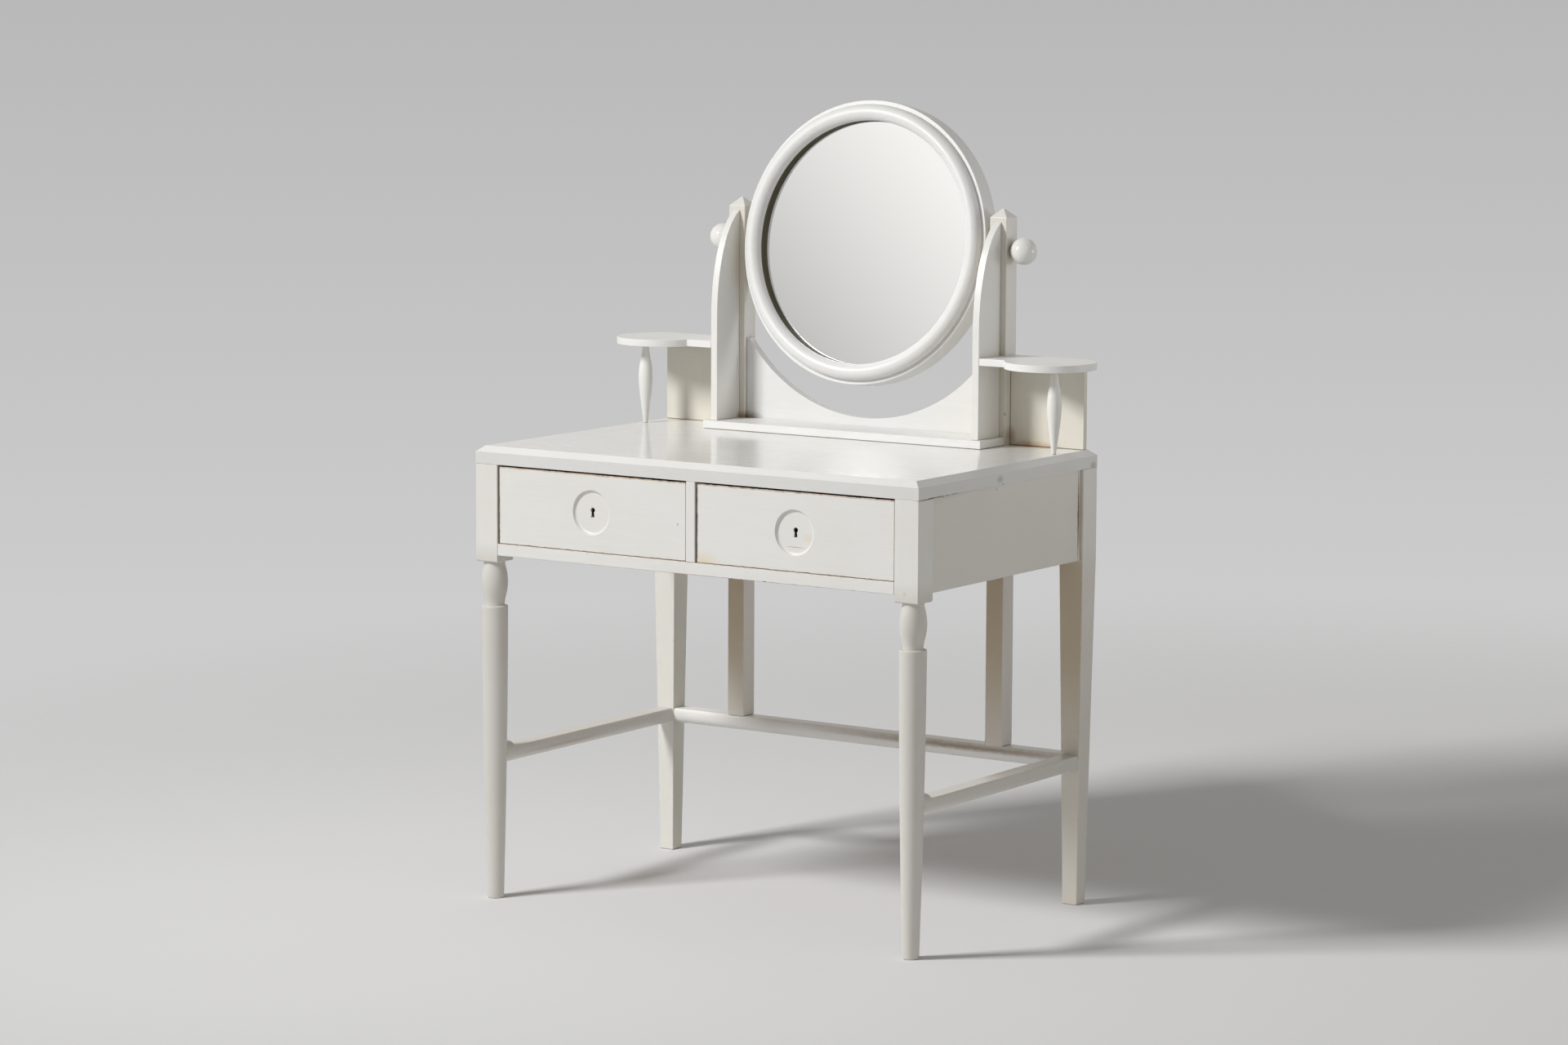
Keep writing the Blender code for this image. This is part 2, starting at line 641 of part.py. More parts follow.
def back_leg(bench, side, word):
    """Tapered leg with a groove for the side panel and two stretcher sockets."""
    leg = ease(back_leg_shape(bench, "back_leg_" + word, side, "old_paint"))
    cut(leg, bench.block("cut_back_groove_" + word, grown(tongue_x(side)),
                         (BACK_LEG_FRONT - OVERRUN,
                          BACK_LEG_FRONT + TONGUE_DEPTH + FIT_GAP), grown(tongue_z())))
    half = back_leg_half(STRETCHER_HEIGHT)
    depth = PEG_BACK_LENGTH + FIT_GAP
    socket = PEG_RADIUS + FIT_GAP
    face_y = BACK_LEG_Y - half
    cut(leg, bench.rod("cut_side_socket_" + word, socket, depth + OVERRUN,
                       (side * FRONT_LEG_X, face_y + depth, STRETCHER_HEIGHT), "front"))
    end_x = side * (BACK_LEG_X - half + depth)
    inward = "left" if side > 0 else "right"
    cut(leg, bench.rod("cut_rear_socket_" + word, socket, depth + OVERRUN,
                       (end_x, BACK_LEG_Y, STRETCHER_HEIGHT), inward))


def rear_stretcher(bench):
    """Round bar between the back legs, planed flat where the posts stand on it."""
    bar = bench.rod("rear_stretcher", STRETCHER_RADIUS, 2 * BACK_LEG_X,
                    (-BACK_LEG_X, BACK_LEG_Y, STRETCHER_HEIGHT), "right", "old_paint",
                    STRETCHER_SIDES)
    past = BACK_LEG_X + OVERRUN
    cut(bar, bench.block("cut_rear_flat", (-past, past),
                         (BACK_LEG_Y - 2 * STRETCHER_RADIUS, BACK_LEG_Y + 2 * STRETCHER_RADIUS),
                         (STRETCHER_FLAT, STRETCHER_HEIGHT + 2 * STRETCHER_RADIUS)))
    for side, word in SIDES:
        cut(bar, back_leg_shape(bench, "cut_rear_bar_" + word, side, gap=FIT_GAP))
    peg_end = BACK_LEG_X - back_leg_half(STRETCHER_HEIGHT) + PEG_BACK_LENGTH
    join(bar, bench.rod("join_rear_pegs", PEG_RADIUS, 2 * peg_end,
                        (-peg_end, BACK_LEG_Y, STRETCHER_HEIGHT), "right"))


def side_stretcher(bench, side, word):
    """Round bar from the front leg to the back leg, planed flat except at the front."""
    x = side * FRONT_LEG_X
    bar = bench.rod("side_stretcher_" + word, STRETCHER_RADIUS, BACK_LEG_Y - FRONT_LEG_Y,
                    (x, BACK_LEG_Y, STRETCHER_HEIGHT), "front", "old_paint",
                    STRETCHER_SIDES)
    cut(bar, bench.block("cut_side_flat_" + word,
                         (x - 2 * STRETCHER_RADIUS, x + 2 * STRETCHER_RADIUS),
                         (FRONT_LEG_Y + STRETCHER_ROUND_END, TOP_DEPTH),
                         (STRETCHER_FLAT, STRETCHER_HEIGHT + 2 * STRETCHER_RADIUS)))
    cut(bar, back_leg_shape(bench, "cut_side_bar_" + word, side, gap=FIT_GAP))
    scribe = [(0, SHAFT_TOP)]
    scribe += [(radius + FIT_GAP, level) for radius, level in shaft_profile()]
    scribe.append((0, 0))
    cut(bar, bench.turned("cut_scribe_" + word, scribe, LEG_SIDES,
                          location=(x, FRONT_LEG_Y, 0)))
    start = FRONT_LEG_Y + shaft_radius(STRETCHER_HEIGHT) - PEG_FRONT_LENGTH
    end = BACK_LEG_Y - back_leg_half(STRETCHER_HEIGHT) + PEG_BACK_LENGTH
    join(bar, bench.rod("join_side_pegs_" + word, PEG_RADIUS, end - start,
                        (x, end, STRETCHER_HEIGHT), "front"))


def front_rail(bench):
    """Low rail under the drawers, with a tenon at each end and a mortise for the divider."""
    end = BLOCK_INNER - FIT_GAP
    rail = ease(bench.block("front_rail", (-end, end), (0, BLOCK_SIZE),
                            (CASE_BOTTOM, OPENING_BOTTOM), "old_paint"))
    reach = BLOCK_INNER + TENON_LENGTH
    join(rail, bench.block("join_rail_tenons", (-reach, reach), rail_tenon_y(),
                           rail_tenon_z()))
    half = TONGUE_THICKNESS / 2 + FIT_GAP
    cut(rail, bench.block("cut_divider_mortise", (-half, half), grown(rail_tenon_y()),
                          (OPENING_BOTTOM - TONGUE_DEPTH - FIT_GAP, OPENING_BOTTOM + OVERRUN)))


def drawer_divider(bench):
    """Upright between the two drawers, tenoned into the rail."""
    half = DIVIDER_THICKNESS / 2
    divider = ease(bench.block("drawer_divider", (-half, half), (0, BLOCK_SIZE),
                               (OPENING_BOTTOM + FIT_GAP, CASE_TOP), "old_paint"))
    half = TONGUE_THICKNESS / 2
    join(divider, bench.block("join_divider_tenon", (-half, half), rail_tenon_y(),
                              (OPENING_BOTTOM - TONGUE_DEPTH, OPENING_BOTTOM + OVERRUN)))


def side_panel(bench, side, word):
    """Panel between two legs, tongued into both."""
    start = BLOCK_SIZE + FIT_GAP
    end = BACK_LEG_FRONT - FIT_GAP
    panel = ease(bench.block("side_panel_" + word, (side * PANEL_INNER, side * PANEL_OUTER),
                             (start, end), (CASE_BOTTOM, CASE_TOP), "old_paint"))
    join(panel, bench.block("join_tongues_" + word, tongue_x(side),
                            (BLOCK_SIZE - TONGUE_DEPTH, BACK_LEG_FRONT + TONGUE_DEPTH),
                            tongue_z()))


def post_screw(bench, name, side, finish=None, gap=0, above=0):
    """Countersunk screw driven from behind through a post into the back panel."""
    head = SCREW_HEAD_RADIUS + gap
    shank = SCREW_RADIUS + gap
    end = -SCREW_LENGTH - gap
    rim = [(0, above), (head, above)]
    if above:
        rim.append((head, 0))
    profile = rim + [(shank, -SCREW_HEAD_HEIGHT), (shank, end), (0, end)]
    place = (side * POST_X, POST_BACK, (CASE_BOTTOM + CASE_TOP) / 2)
    return bench.turned(name, profile, PEG_SIDES, finish, place, "back")


def screw_hole(bench, side, words):
    """Cutter for the hole of the screw through one post."""
    return post_screw(bench, "cut_screw_" + words, side, gap=FIT_GAP, above=OVERRUN)


def back_panel(bench):
    """Panel in front of the posts, rebated round the back legs."""
    reach = PANEL_INNER - FIT_GAP
    panel = ease(bench.block("back_panel", (-reach, reach),
                             (BACK_PANEL_FRONT, POST_FRONT - FIT_GAP),
                             (CASE_BOTTOM, CASE_TOP), "bare_wood"))
    for side, word in SIDES:
        cut(panel, bench.block("cut_leg_rebate_" + word,
                               (side * (TOP_WIDTH / 2 - BACK_LEG_SIZE - FIT_GAP),
                                side * TOP_WIDTH / 2),
                               (BACK_LEG_FRONT - FIT_GAP, POST_FRONT + OVERRUN),
                               (CASE_BOTTOM - OVERRUN, CASE_TOP + OVERRUN)))
        cut(panel, screw_hole(bench, side, "panel_" + word))


def runners(bench):
    """Strips that carry the drawers' sides, each with a raised guide along it."""
    z = (CASE_BOTTOM, OPENING_BOTTOM)
    guide_z = (OPENING_BOTTOM - OVERRUN, OPENING_BOTTOM + GUIDE_HEIGHT)
    y = (BLOCK_SIZE + FIT_GAP, BACK_PANEL_FRONT - FIT_GAP)
    outer = PANEL_INNER - FIT_GAP
    for side, word in SIDES:
        runner = bench.block("runner_" + word, (side * (outer - RUNNER_WIDTH), side * outer),
                             y, z, "bare_wood")
        inner = DRAWER_OUTER_END - DRAWER_SIDE_INSET + GUIDE_GAP
        join(runner, bench.block("join_guide_" + word, (side * inner, side * outer), y,
                                 guide_z))
    runner = bench.block("runner_centre", (-RUNNER_WIDTH, RUNNER_WIDTH), y, z, "bare_wood")
    half = DRAWER_INNER_END + DRAWER_SIDE_INSET - GUIDE_GAP
    join(runner, bench.block("join_guide_centre", (-half, half), y, guide_z))


def drawer_stop(bench, side, word):
    """Block on the rail that stops the drawer front just inside the case."""
    start = DRAWER_FRONT_BACK + FIT_GAP
    middle = side * DRAWER_X
    bench.block("drawer_stop_" + word, (middle - STOP_WIDTH / 2, middle + STOP_WIDTH / 2),
                (start, start + STOP_DEPTH),
                (OPENING_BOTTOM + FIT_GAP, PANEL_SEAT - STOP_CLEARANCE), "bare_wood")


def mirror_post(bench, side, word):
    """Square post from the rear stretcher, past the table, to a pointed top."""
    shoulder = AXIS_HEIGHT + POST_SHOULDER_RISE
    post = bench.block("mirror_post_" + word, (side * POST_INNER, side * POST_OUTER),
                       (POST_FRONT, POST_BACK), (STRETCHER_FLAT + FIT_GAP, shoulder),
                       "old_paint")
    shape = bmesh.new()
    shape.from_mesh(post.data)
    top = [face for face in shape.faces if face.normal.z > face.normal.length / 2]
    poked = bmesh.ops.poke(shape, faces=top)
    bmesh.ops.translate(shape, vec=(0, 0, POST_POINT_HEIGHT), verts=poked["verts"])
    shape.to_mesh(post.data)
    shape.free()
    ease(post)
    cut(post, bench.rod("cut_bolt_hole_" + word, BOLT_RADIUS + BORE_PLAY,
                        POST_WIDTH + 2 * OVERRUN,
                        (side * POST_X - (POST_WIDTH / 2 + OVERRUN), AXIS_Y, AXIS_HEIGHT),
                        "right"))
    cut(post, screw_hole(bench, side, "post_" + word))
    post_screw(bench, "post_screw_" + word, side, "steel")


def fin(bench, side, word):
    """Thin upright fin in front of a post, its front edge curving back to a point."""
    base = TABLE_HEIGHT + PLINTH_HEIGHT + FIT_GAP
    spring = TABLE_HEIGHT + FIN_STRAIGHT_HEIGHT
    rise = math.sqrt(1 - (1 - FIN_DEPTH / FIN_CURVE_DEPTH) ** 2)
    points = [(POST_FRONT - FIT_GAP, base), (FIN_FRONT, base)]
    for i in range(FIN_RINGS + 1):
        share = rise * math.sin(QUARTER * i / FIN_RINGS)
        back = FIN_CURVE_DEPTH * (1 - math.sqrt(1 - share**2))
        points.append((min(FIN_FRONT + back, POST_FRONT - FIT_GAP),
                       spring + share * FIN_CURVE_HEIGHT))
    plate = bench.slab("fin_" + word, points, FIN_THICKNESS, (side * POST_X, 0, 0), "side",
                       "old_paint")
    ease(plate)


def plinth(bench):
    """Low board on the table top that the fins stand on, notched round the posts."""
    board = ease(bench.block("plinth", (-POST_OUTER, POST_OUTER),
                             (FIN_FRONT - PLINTH_LEDGE, CRESCENT_FRONT - FIT_GAP),
                             (TABLE_HEIGHT + FIT_GAP, TABLE_HEIGHT + PLINTH_HEIGHT),
                             "old_paint"))
    for side, word in SIDES:
        cut(board, bench.block("cut_plinth_" + word,
                               (side * (POST_INNER - FIT_GAP), side * (POST_OUTER + OVERRUN)),
                               (POST_FRONT - FIT_GAP, POST_BACK),
                               (TABLE_HEIGHT - OVERRUN,
                                TABLE_HEIGHT + PLINTH_HEIGHT + OVERRUN)))


def crescent_panel(bench):
    """Panel between the posts, hollowed along an arc round the mirror's axis."""
    reach = POST_INNER - FIT_GAP
    tip = reach - CRESCENT_TIP_WIDTH
    arc_end = math.degrees(math.acos(tip / CRESCENT_RADIUS))
    base = TABLE_HEIGHT + FIT_GAP
    hollow = arc((0, AXIS_HEIGHT), CRESCENT_RADIUS, arc_end - 180, -arc_end, CRESCENT_RINGS)
    top = hollow[0][1] + CRESCENT_TIP_RISE
    left = [(-reach, base), (-reach, top), (-tip - CRESCENT_TIP_ROUNDING, top),
            (-tip, top - CRESCENT_TIP_ROUNDING)]
    right = [(-x, z) for x, z in reversed(left)]
    ease(bench.slab("crescent_panel", left + hollow + right, CRESCENT_THICKNESS,
                    (0, CRESCENT_FRONT + CRESCENT_THICKNESS / 2, 0), "front", "old_paint"))


def shelf_outline():
    """Right-hand shelf seen from above: straight beside the fin, round at its end."""
    fin_face = POST_X + FIN_THICKNESS / 2 + FIT_GAP
    start = 180 + math.degrees(math.asin((SHELF_CENTRE_Y - FIN_FRONT) / SHELF_RADIUS))
    end = 360 + math.degrees(math.asin(SHELF_CENTRE_FROM_BACK / SHELF_RADIUS))
    points = [(POST_OUTER + FIT_GAP, SHELF_BACK_Y), (POST_OUTER + FIT_GAP, POST_FRONT - FIT_GAP),
              (fin_face, POST_FRONT - FIT_GAP), (fin_face, FIN_FRONT)]
    return points + arc((SHELF_CENTRE_X, SHELF_CENTRE_Y), SHELF_RADIUS, start, end, SHELF_RINGS)


def spindle_profile():
    """Turned spindle between two pegs, from the shelf down to the table top."""
    top = SHELF_UNDERSIDE - FIT_GAP
    base = TABLE_HEIGHT + FIT_GAP
    peg = SPINDLE_PEG_RADIUS
    points = [(0, top + SPINDLE_PEG_LENGTH), (peg, top + SPINDLE_PEG_LENGTH), (peg, top)]
    for down_share, radius_share in SPINDLE_SHARES:
        points.append((radius_share * SPINDLE_RADIUS, top - down_share * (top - base)))
    return points + [(peg, base), (peg, base - SPINDLE_PEG_LENGTH),
                     (0, base - SPINDLE_PEG_LENGTH)]


def side_shelf(bench, side, word):
    """Shelf, its back panel and its spindle."""
    outline = [(side * x, y) for x, y in shelf_outline()]
    middle = SHELF_UNDERSIDE + SHELF_THICKNESS / 2
    shelf = ease(bench.slab("shelf_" + word, outline, SHELF_THICKNESS, (0, 0, middle), "up",
                            "old_paint"))
    peg = SPINDLE_PEG_RADIUS + FIT_GAP
    foot = (side * SPINDLE_X, SPINDLE_Y, SHELF_UNDERSIDE - OVERRUN)
    cut(shelf, bench.rod("cut_spindle_top_" + word, peg, SPINDLE_PEG_LENGTH + OVERRUN, foot,
                         "up"))
    bench.turned("spindle_" + word, spindle_profile(), SPINDLE_SIDES, "old_paint",
                 (side * SPINDLE_X, SPINDLE_Y, 0))
    ease(bench.block("shelf_back_" + word,
                     (side * (POST_OUTER + FIT_GAP), side * SHELF_BACK_OUTER),
                     (SHELF_BACK_Y - SHELF_BACK_THICKNESS, SHELF_BACK_Y),
                     (TABLE_HEIGHT + FIT_GAP, SHELF_UNDERSIDE - FIT_GAP), "old_paint"))


def drawer_front(bench, side, word):
    """Front with laps for the sides, a groove for the bottom, a round recess and a keyhole."""
    x = side * DRAWER_X
    ends = (side * DRAWER_INNER_END, side * DRAWER_OUTER_END)
    front = ease(bench.block("drawer_front_" + word, ends, (DRAWER_RECESS, DRAWER_FRONT_BACK),
                             (DRAWER_BASE, DRAWER_TOP), "old_paint"))
    lap = DRAWER_SIDE_INSET + DRAWER_WALL + FIT_GAP
    for number, (end, inward) in enumerate(((min(ends), 1), (max(ends), -1))):
        cut(front, bench.block("cut_lap_%s_%d" % (word, number),
                               (end - inward * OVERRUN, end + inward * lap),
                               (DRAWER_SIDE_START, DRAWER_FRONT_BACK + OVERRUN),
                               (DRAWER_BASE - OVERRUN, DRAWER_TOP + OVERRUN)))
    cut(front, bench.block("cut_front_bottom_groove_" + word, grown(bottom_x(side)),
                           (DRAWER_FRONT_BACK - DRAWER_GROOVE - FIT_GAP,
                            DRAWER_FRONT_BACK + OVERRUN), grown(bottom_z())))
    slope = (RECESS_RADIUS - RECESS_FLOOR_RADIUS) / RECESS_DEPTH
    recess = [(0, OVERRUN), (RECESS_RADIUS + slope * OVERRUN, OVERRUN),
              (RECESS_FLOOR_RADIUS, -RECESS_DEPTH), (0, -RECESS_DEPTH)]
    cut(front, bench.turned("cut_recess_" + word, recess, RECESS_SIDES,
                            location=(x, DRAWER_RECESS, KEYHOLE_Z[word]), turn="front"))
    middle = (x, (DRAWER_RECESS + DRAWER_FRONT_BACK) / 2, KEYHOLE_Z[word])
    cut(front, bench.slab("cut_keyhole_" + word, keyhole_outline(),
                          DRAWER_FRONT_THICKNESS + 2 * OVERRUN, middle, "front"))


def keyhole_outline():
    """Round hole over a slot that widens towards its foot."""
    centre = KEYHOLE_HEIGHT / 2 - KEYHOLE_RADIUS
    meet = math.degrees(math.asin(KEYHOLE_WAIST / 2 / KEYHOLE_RADIUS))
    points = arc((0, centre), KEYHOLE_RADIUS, meet - 90, 270 - meet, KEYHOLE_RINGS)
    foot = KEYHOLE_FOOT / 2
    return points + [(-foot, -KEYHOLE_HEIGHT / 2), (foot, -KEYHOLE_HEIGHT / 2)]


def wall_outer(side):
    """Outer faces of the drawer's two sides, nearest the middle of the table first."""
    return (side * (DRAWER_INNER_END + DRAWER_SIDE_INSET),
            side * (DRAWER_OUTER_END - DRAWER_SIDE_INSET))


def bottom_x(side):
    """Span of the drawer's bottom, which runs into grooves in both sides."""
    inset = DRAWER_WALL - DRAWER_GROOVE + FIT_GAP
    low, high = sorted(wall_outer(side))
    return (low + inset, high - inset)


def bottom_z():
    """Span of the drawer's bottom in height."""
    return (PANEL_SEAT, PANEL_SEAT + DRAWER_BOTTOM_THICKNESS)


def drawer_box(bench, side, word):
    """Two grooved sides, a back and a thin bottom behind the drawer front."""
    top = DRAWER_TOP - DRAWER_SIDE_DROP
    y = (DRAWER_SIDE_START + FIT_GAP, DRAWER_END)
    low, high = sorted(wall_outer(side))
    for place, outer, inner in (("left", low, low + DRAWER_WALL),
                                ("right", high, high - DRAWER_WALL)):
        wall = bench.block("drawer_%s_side_%s" % (word, place), (outer, inner), y,
                           (DRAWER_SIDE_BASE, top), "bare_wood")
        deep = inner + (DRAWER_GROOVE if outer > inner else -DRAWER_GROOVE)
        past = inner + (-OVERRUN if outer > inner else OVERRUN)
        cut(wall, bench.block("cut_side_groove_%s_%s" % (word, place), (deep, past),
                              (y[0] - OVERRUN, y[1] + OVERRUN), grown(bottom_z())))
    inside = (low + DRAWER_WALL + FIT_GAP, high - DRAWER_WALL - FIT_GAP)
    bench.block("drawer_%s_back" % word, inside, (DRAWER_END - DRAWER_WALL, DRAWER_END),
                (bottom_z()[1] + FIT_GAP, top - DRAWER_BACK_DROP), "bare_wood")
    bench.block("drawer_%s_bottom" % word, bottom_x(side),
                (DRAWER_FRONT_BACK - DRAWER_GROOVE, DRAWER_END), bottom_z(), "plywood")


def lock_case(bench, side, word):
    """Flat lock case behind the keyhole, open on top for its bolt and in front for a key."""
    x = side * DRAWER_X
    case = bench.block("lock_case_" + word, (x - LOCK_WIDTH / 2, x + LOCK_WIDTH / 2),
                       (LOCK_FRONT, LOCK_FRONT + LOCK_DEPTH),
                       (KEYHOLE_Z[word] - LOCK_DROP, LOCK_TOP), "steel")
    play = LOCK_BOLT_WIDTH / 2 + LOCK_BOLT_PLAY
    bolt_y = (LOCK_BOLT_Y, LOCK_BOLT_Y + LOCK_BOLT_THICKNESS)
    cut(case, bench.block("cut_bolt_slot_" + word, (x - play, x + play),
                          grown(bolt_y, LOCK_BOLT_PLAY),
                          (LOCK_BOLT_TOP - LOCK_BOLT_LENGTH - LOCK_BOLT_PLAY,
                           LOCK_TOP + OVERRUN)))
    well = LOCK_DEPTH - LOCK_WALL
    key_z = KEYHOLE_Z[word] + KEYHOLE_HEIGHT / 2 - KEYHOLE_RADIUS
    cut(case, bench.rod("cut_key_well_" + word, LOCK_WELL_RADIUS, well + OVERRUN,
                        (x, LOCK_FRONT + well, key_z), "front"))
    join(case, bench.rod("join_key_pin_" + word, LOCK_PIN_RADIUS, LOCK_DEPTH - LOCK_WALL / 2,
                         (x, LOCK_FRONT + LOCK_DEPTH - LOCK_WALL / 2, key_z), "front"))


def drawer(bench, table, side, word):
    """Drawer with its lock, under an empty that slides it."""
    slide = bench.empty("drawer_slide_" + word, (0, 0, 0), table)
    bench.parent = slide
    drawer_front(bench, side, word)
    drawer_box(bench, side, word)
    lock_case(bench, side, word)
    bench.parent = bench.empty("lock_slide_" + word, (0, 0, 0), slide)
    x = side * DRAWER_X
    half = LOCK_BOLT_WIDTH / 2
    bench.block("lock_bolt_" + word, (x - half, x + half),
                (LOCK_BOLT_Y, LOCK_BOLT_Y + LOCK_BOLT_THICKNESS),
                (LOCK_BOLT_TOP - LOCK_BOLT_LENGTH, LOCK_BOLT_TOP), "brass")
    bench.parent = table


def mirror_profile():
    """Section of the round frame: rim, back, rebate for the glass, and the fat bead."""
    foot = -math.degrees(math.asin((BEAD_CENTRE_RISE - MIRROR_FRONT) / BEAD_RADIUS))
    lip = BEAD_CENTRE_RADIUS - BEAD_RADIUS
    seat = GLASS_FRONT + FIT_GAP
    bead = arc((BEAD_CENTRE_RADIUS, BEAD_CENTRE_RISE), BEAD_RADIUS, 180, foot, BEAD_RINGS)
    return [(MIRROR_RADIUS, MIRROR_FRONT), (MIRROR_RADIUS, -MIRROR_BACK),
            (REBATE_RADIUS, -MIRROR_BACK), (REBATE_RADIUS, seat), (lip, seat)] + bead


def brad(bench, name, number, finish=None, gap=0):
    """Brad driven outwards into the rebate's wall, just behind the backboard."""
    level = BACKBOARD_BACK - FIT_GAP - BRAD_RADIUS
    start = REBATE_RADIUS + BRAD_DEPTH - BRAD_LENGTH
    angle = 2 * math.pi * (number / BRAD_COUNT) + QUARTER
    rod = bench.rod(name, BRAD_RADIUS + gap, BRAD_LENGTH + gap,
                    (start * math.cos(angle), -level, start * math.sin(angle)), "up", finish)
    rod.rotation_euler = (0, QUARTER - angle, 0)
    return rod


def mirror(bench, pivot):
    """Round frame with its glass, backboard, brads and the threaded inserts of the pivots."""
    bench.parent = pivot
    frame = bench.turned("mirror_frame", mirror_profile(), MIRROR_SIDES, "old_paint",
                         turn="front", closed=True)
    sheet = REBATE_RADIUS - GLASS_PLAY
    bench.rod("mirror_glass", sheet, GLASS_THICKNESS, (0, -GLASS_BACK, 0), "front", "mirror",
              MIRROR_SIDES)
    bench.rod("mirror_backboard", sheet, BACKBOARD_THICKNESS, (0, -BACKBOARD_BACK, 0),
              "front", "plywood", MIRROR_SIDES)
    for number in range(BRAD_COUNT):
        cut(frame, brad(bench, "cut_brad_%d" % number, number, gap=FIT_GAP))
        brad(bench, "backboard_brad_%d" % (number + 1), number, "steel")
    deep = MIRROR_RADIUS - INSERT_SINK - INSERT_LENGTH
    for side, word in SIDES:
        cut(frame, bench.rod("cut_insert_" + word, INSERT_RADIUS + FIT_GAP,
                             INSERT_LENGTH + OVERRUN, (side * (deep - FIT_GAP), 0, 0), word))
        bench.tube("mirror_insert_" + word, INSERT_RADIUS, BOLT_RADIUS + FIT_GAP,
                   INSERT_LENGTH, (side * deep, 0, 0), word, "brass")


def pivot_spacer(bench, side, word):
    """Thick washer that fills the room between the frame and a post."""
    bench.tube("pivot_spacer_" + word, SPACER_RADIUS, BOLT_RADIUS + BORE_PLAY,
               MIRROR_SIDE_GAP - FIT_GAP - INSERT_SINK,
               (side * (MIRROR_RADIUS + INSERT_SINK), AXIS_Y, AXIS_HEIGHT), word, "brass",
               2 * PEG_SIDES)


def knob(bench, pivot, side, word):
    """Ball knob on a bolt that runs through the post into the frame's insert."""
    centre = POST_OUTER + KNOB_REACH
    hub = bench.empty("knob_pivot_" + word, (side * centre, 0, 0), pivot)
    bench.parent = hub
    seat = -math.degrees(math.acos(KNOB_SEAT_RADIUS / KNOB_RADIUS))
    ball = arc((0, 0), KNOB_RADIUS, 90, seat, KNOB_RINGS)
    base = ball[-1][1] - KNOB_COLLAR
    bore = BOLT_RADIUS + FIT_GAP
    top = base + BOLT_IN_KNOB + FIT_GAP
    profile = [(0, KNOB_RADIUS)] + ball[1:]
    profile += [(KNOB_SEAT_RADIUS, base), (bore, base), (bore, top), (0, top)]
    bench.turned("knob_" + word, profile, KNOB_SIDES, "gloss_paint", turn=word)
    start = MIRROR_RADIUS - BOLT_IN_FRAME
    end = centre + base + BOLT_IN_KNOB
    bench.rod("knob_bolt_" + word, BOLT_RADIUS, end - start, (side * (start - centre), 0, 0),
              word, "steel")


def main():
    """Build every piece of the dressing table."""
    clear_scene()
    bench = Bench()
    table = bench.empty("table", (0, -OVERALL_DEPTH / 2, 0))
    bench.parent = table
    table_top(bench)
    front_rail(bench)
    drawer_divider(bench)
    back_panel(bench)
    runners(bench)
    rear_stretcher(bench)
    plinth(bench)
    crescent_panel(bench)
    for side, word in SIDES:
        front_leg(bench, side, word)
        back_leg(bench, side, word)
        side_stretcher(bench, side, word)
        side_panel(bench, side, word)
        mirror_post(bench, side, word)
        pivot_spacer(bench, side, word)
        drawer_stop(bench, side, word)
        fin(bench, side, word)
        side_shelf(bench, side, word)
        drawer(bench, table, side, word)
    pivot = bench.empty("mirror_pivot", (0, AXIS_Y, AXIS_HEIGHT), table, (-TILT, 0, 0))
    mirror(bench, pivot)
    for side, word in SIDES:
        knob(bench, pivot, side, word)


main()
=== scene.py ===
"""Looks of a painted dressing table: studio, finishes and the finely curved pieces.

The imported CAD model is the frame. Flat pieces keep their CAD node and get a finish. Turned,
curved and recessed pieces are modelled again with fine curves and stand for their nodes.
"""
import logging
import math
from dataclasses import dataclass
from enum import Enum
from typing import Sequence

import bpy
from mathutils import Matrix, Vector


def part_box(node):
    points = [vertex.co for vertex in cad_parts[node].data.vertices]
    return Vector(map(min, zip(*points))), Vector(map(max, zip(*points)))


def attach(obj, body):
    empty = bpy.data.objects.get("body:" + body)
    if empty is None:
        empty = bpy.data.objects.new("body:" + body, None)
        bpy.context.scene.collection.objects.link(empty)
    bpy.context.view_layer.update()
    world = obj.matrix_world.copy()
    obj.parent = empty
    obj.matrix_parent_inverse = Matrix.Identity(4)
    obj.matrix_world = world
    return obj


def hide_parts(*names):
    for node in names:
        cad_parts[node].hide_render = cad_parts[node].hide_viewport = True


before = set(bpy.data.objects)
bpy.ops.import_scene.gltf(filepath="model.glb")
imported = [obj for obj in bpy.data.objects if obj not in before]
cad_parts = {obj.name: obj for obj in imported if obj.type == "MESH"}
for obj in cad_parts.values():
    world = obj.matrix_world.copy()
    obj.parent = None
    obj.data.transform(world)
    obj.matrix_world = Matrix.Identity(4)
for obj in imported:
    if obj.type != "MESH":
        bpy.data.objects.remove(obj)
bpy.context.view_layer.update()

LOG = logging.getLogger("dressing_table")
Point = tuple[float, float]
Triple = tuple[float, float, float]
Piece = bpy.types.Object
Material = bpy.types.Material
Tree = bpy.types.NodeTree
Socket = bpy.types.NodeSocket
MM = 0.001
QUARTER = math.pi / 2
WELD = 0.000003                 # points closer than this are one point
FRONT_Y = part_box("table_top")[0][1]
WHITE = "#FFFFFF"


class Grain(Enum):
    """Direction that the brush and the wood grain follow."""

    ACROSS = 0
    DEEP = 1
    UPRIGHT = 2


class Turn(Enum):
    """Turn that points a piece's own Z up, to the front, or to a side."""

    UP = (0.0, 0.0, 0.0)
    FRONT = (QUARTER, 0.0, 0.0)
    BACK = (-QUARTER, 0.0, 0.0)
    RIGHT = (0.0, QUARTER, 0.0)
    RIGHT_ON_EDGE = (-QUARTER, 0.0, -QUARTER)
    SIDE = (QUARTER, 0.0, QUARTER)


# Tools of the workshop

def let_go() -> None:
    """Deselect everything, so that the next operator acts on its own piece alone."""
    bpy.ops.object.select_all(action="DESELECT")


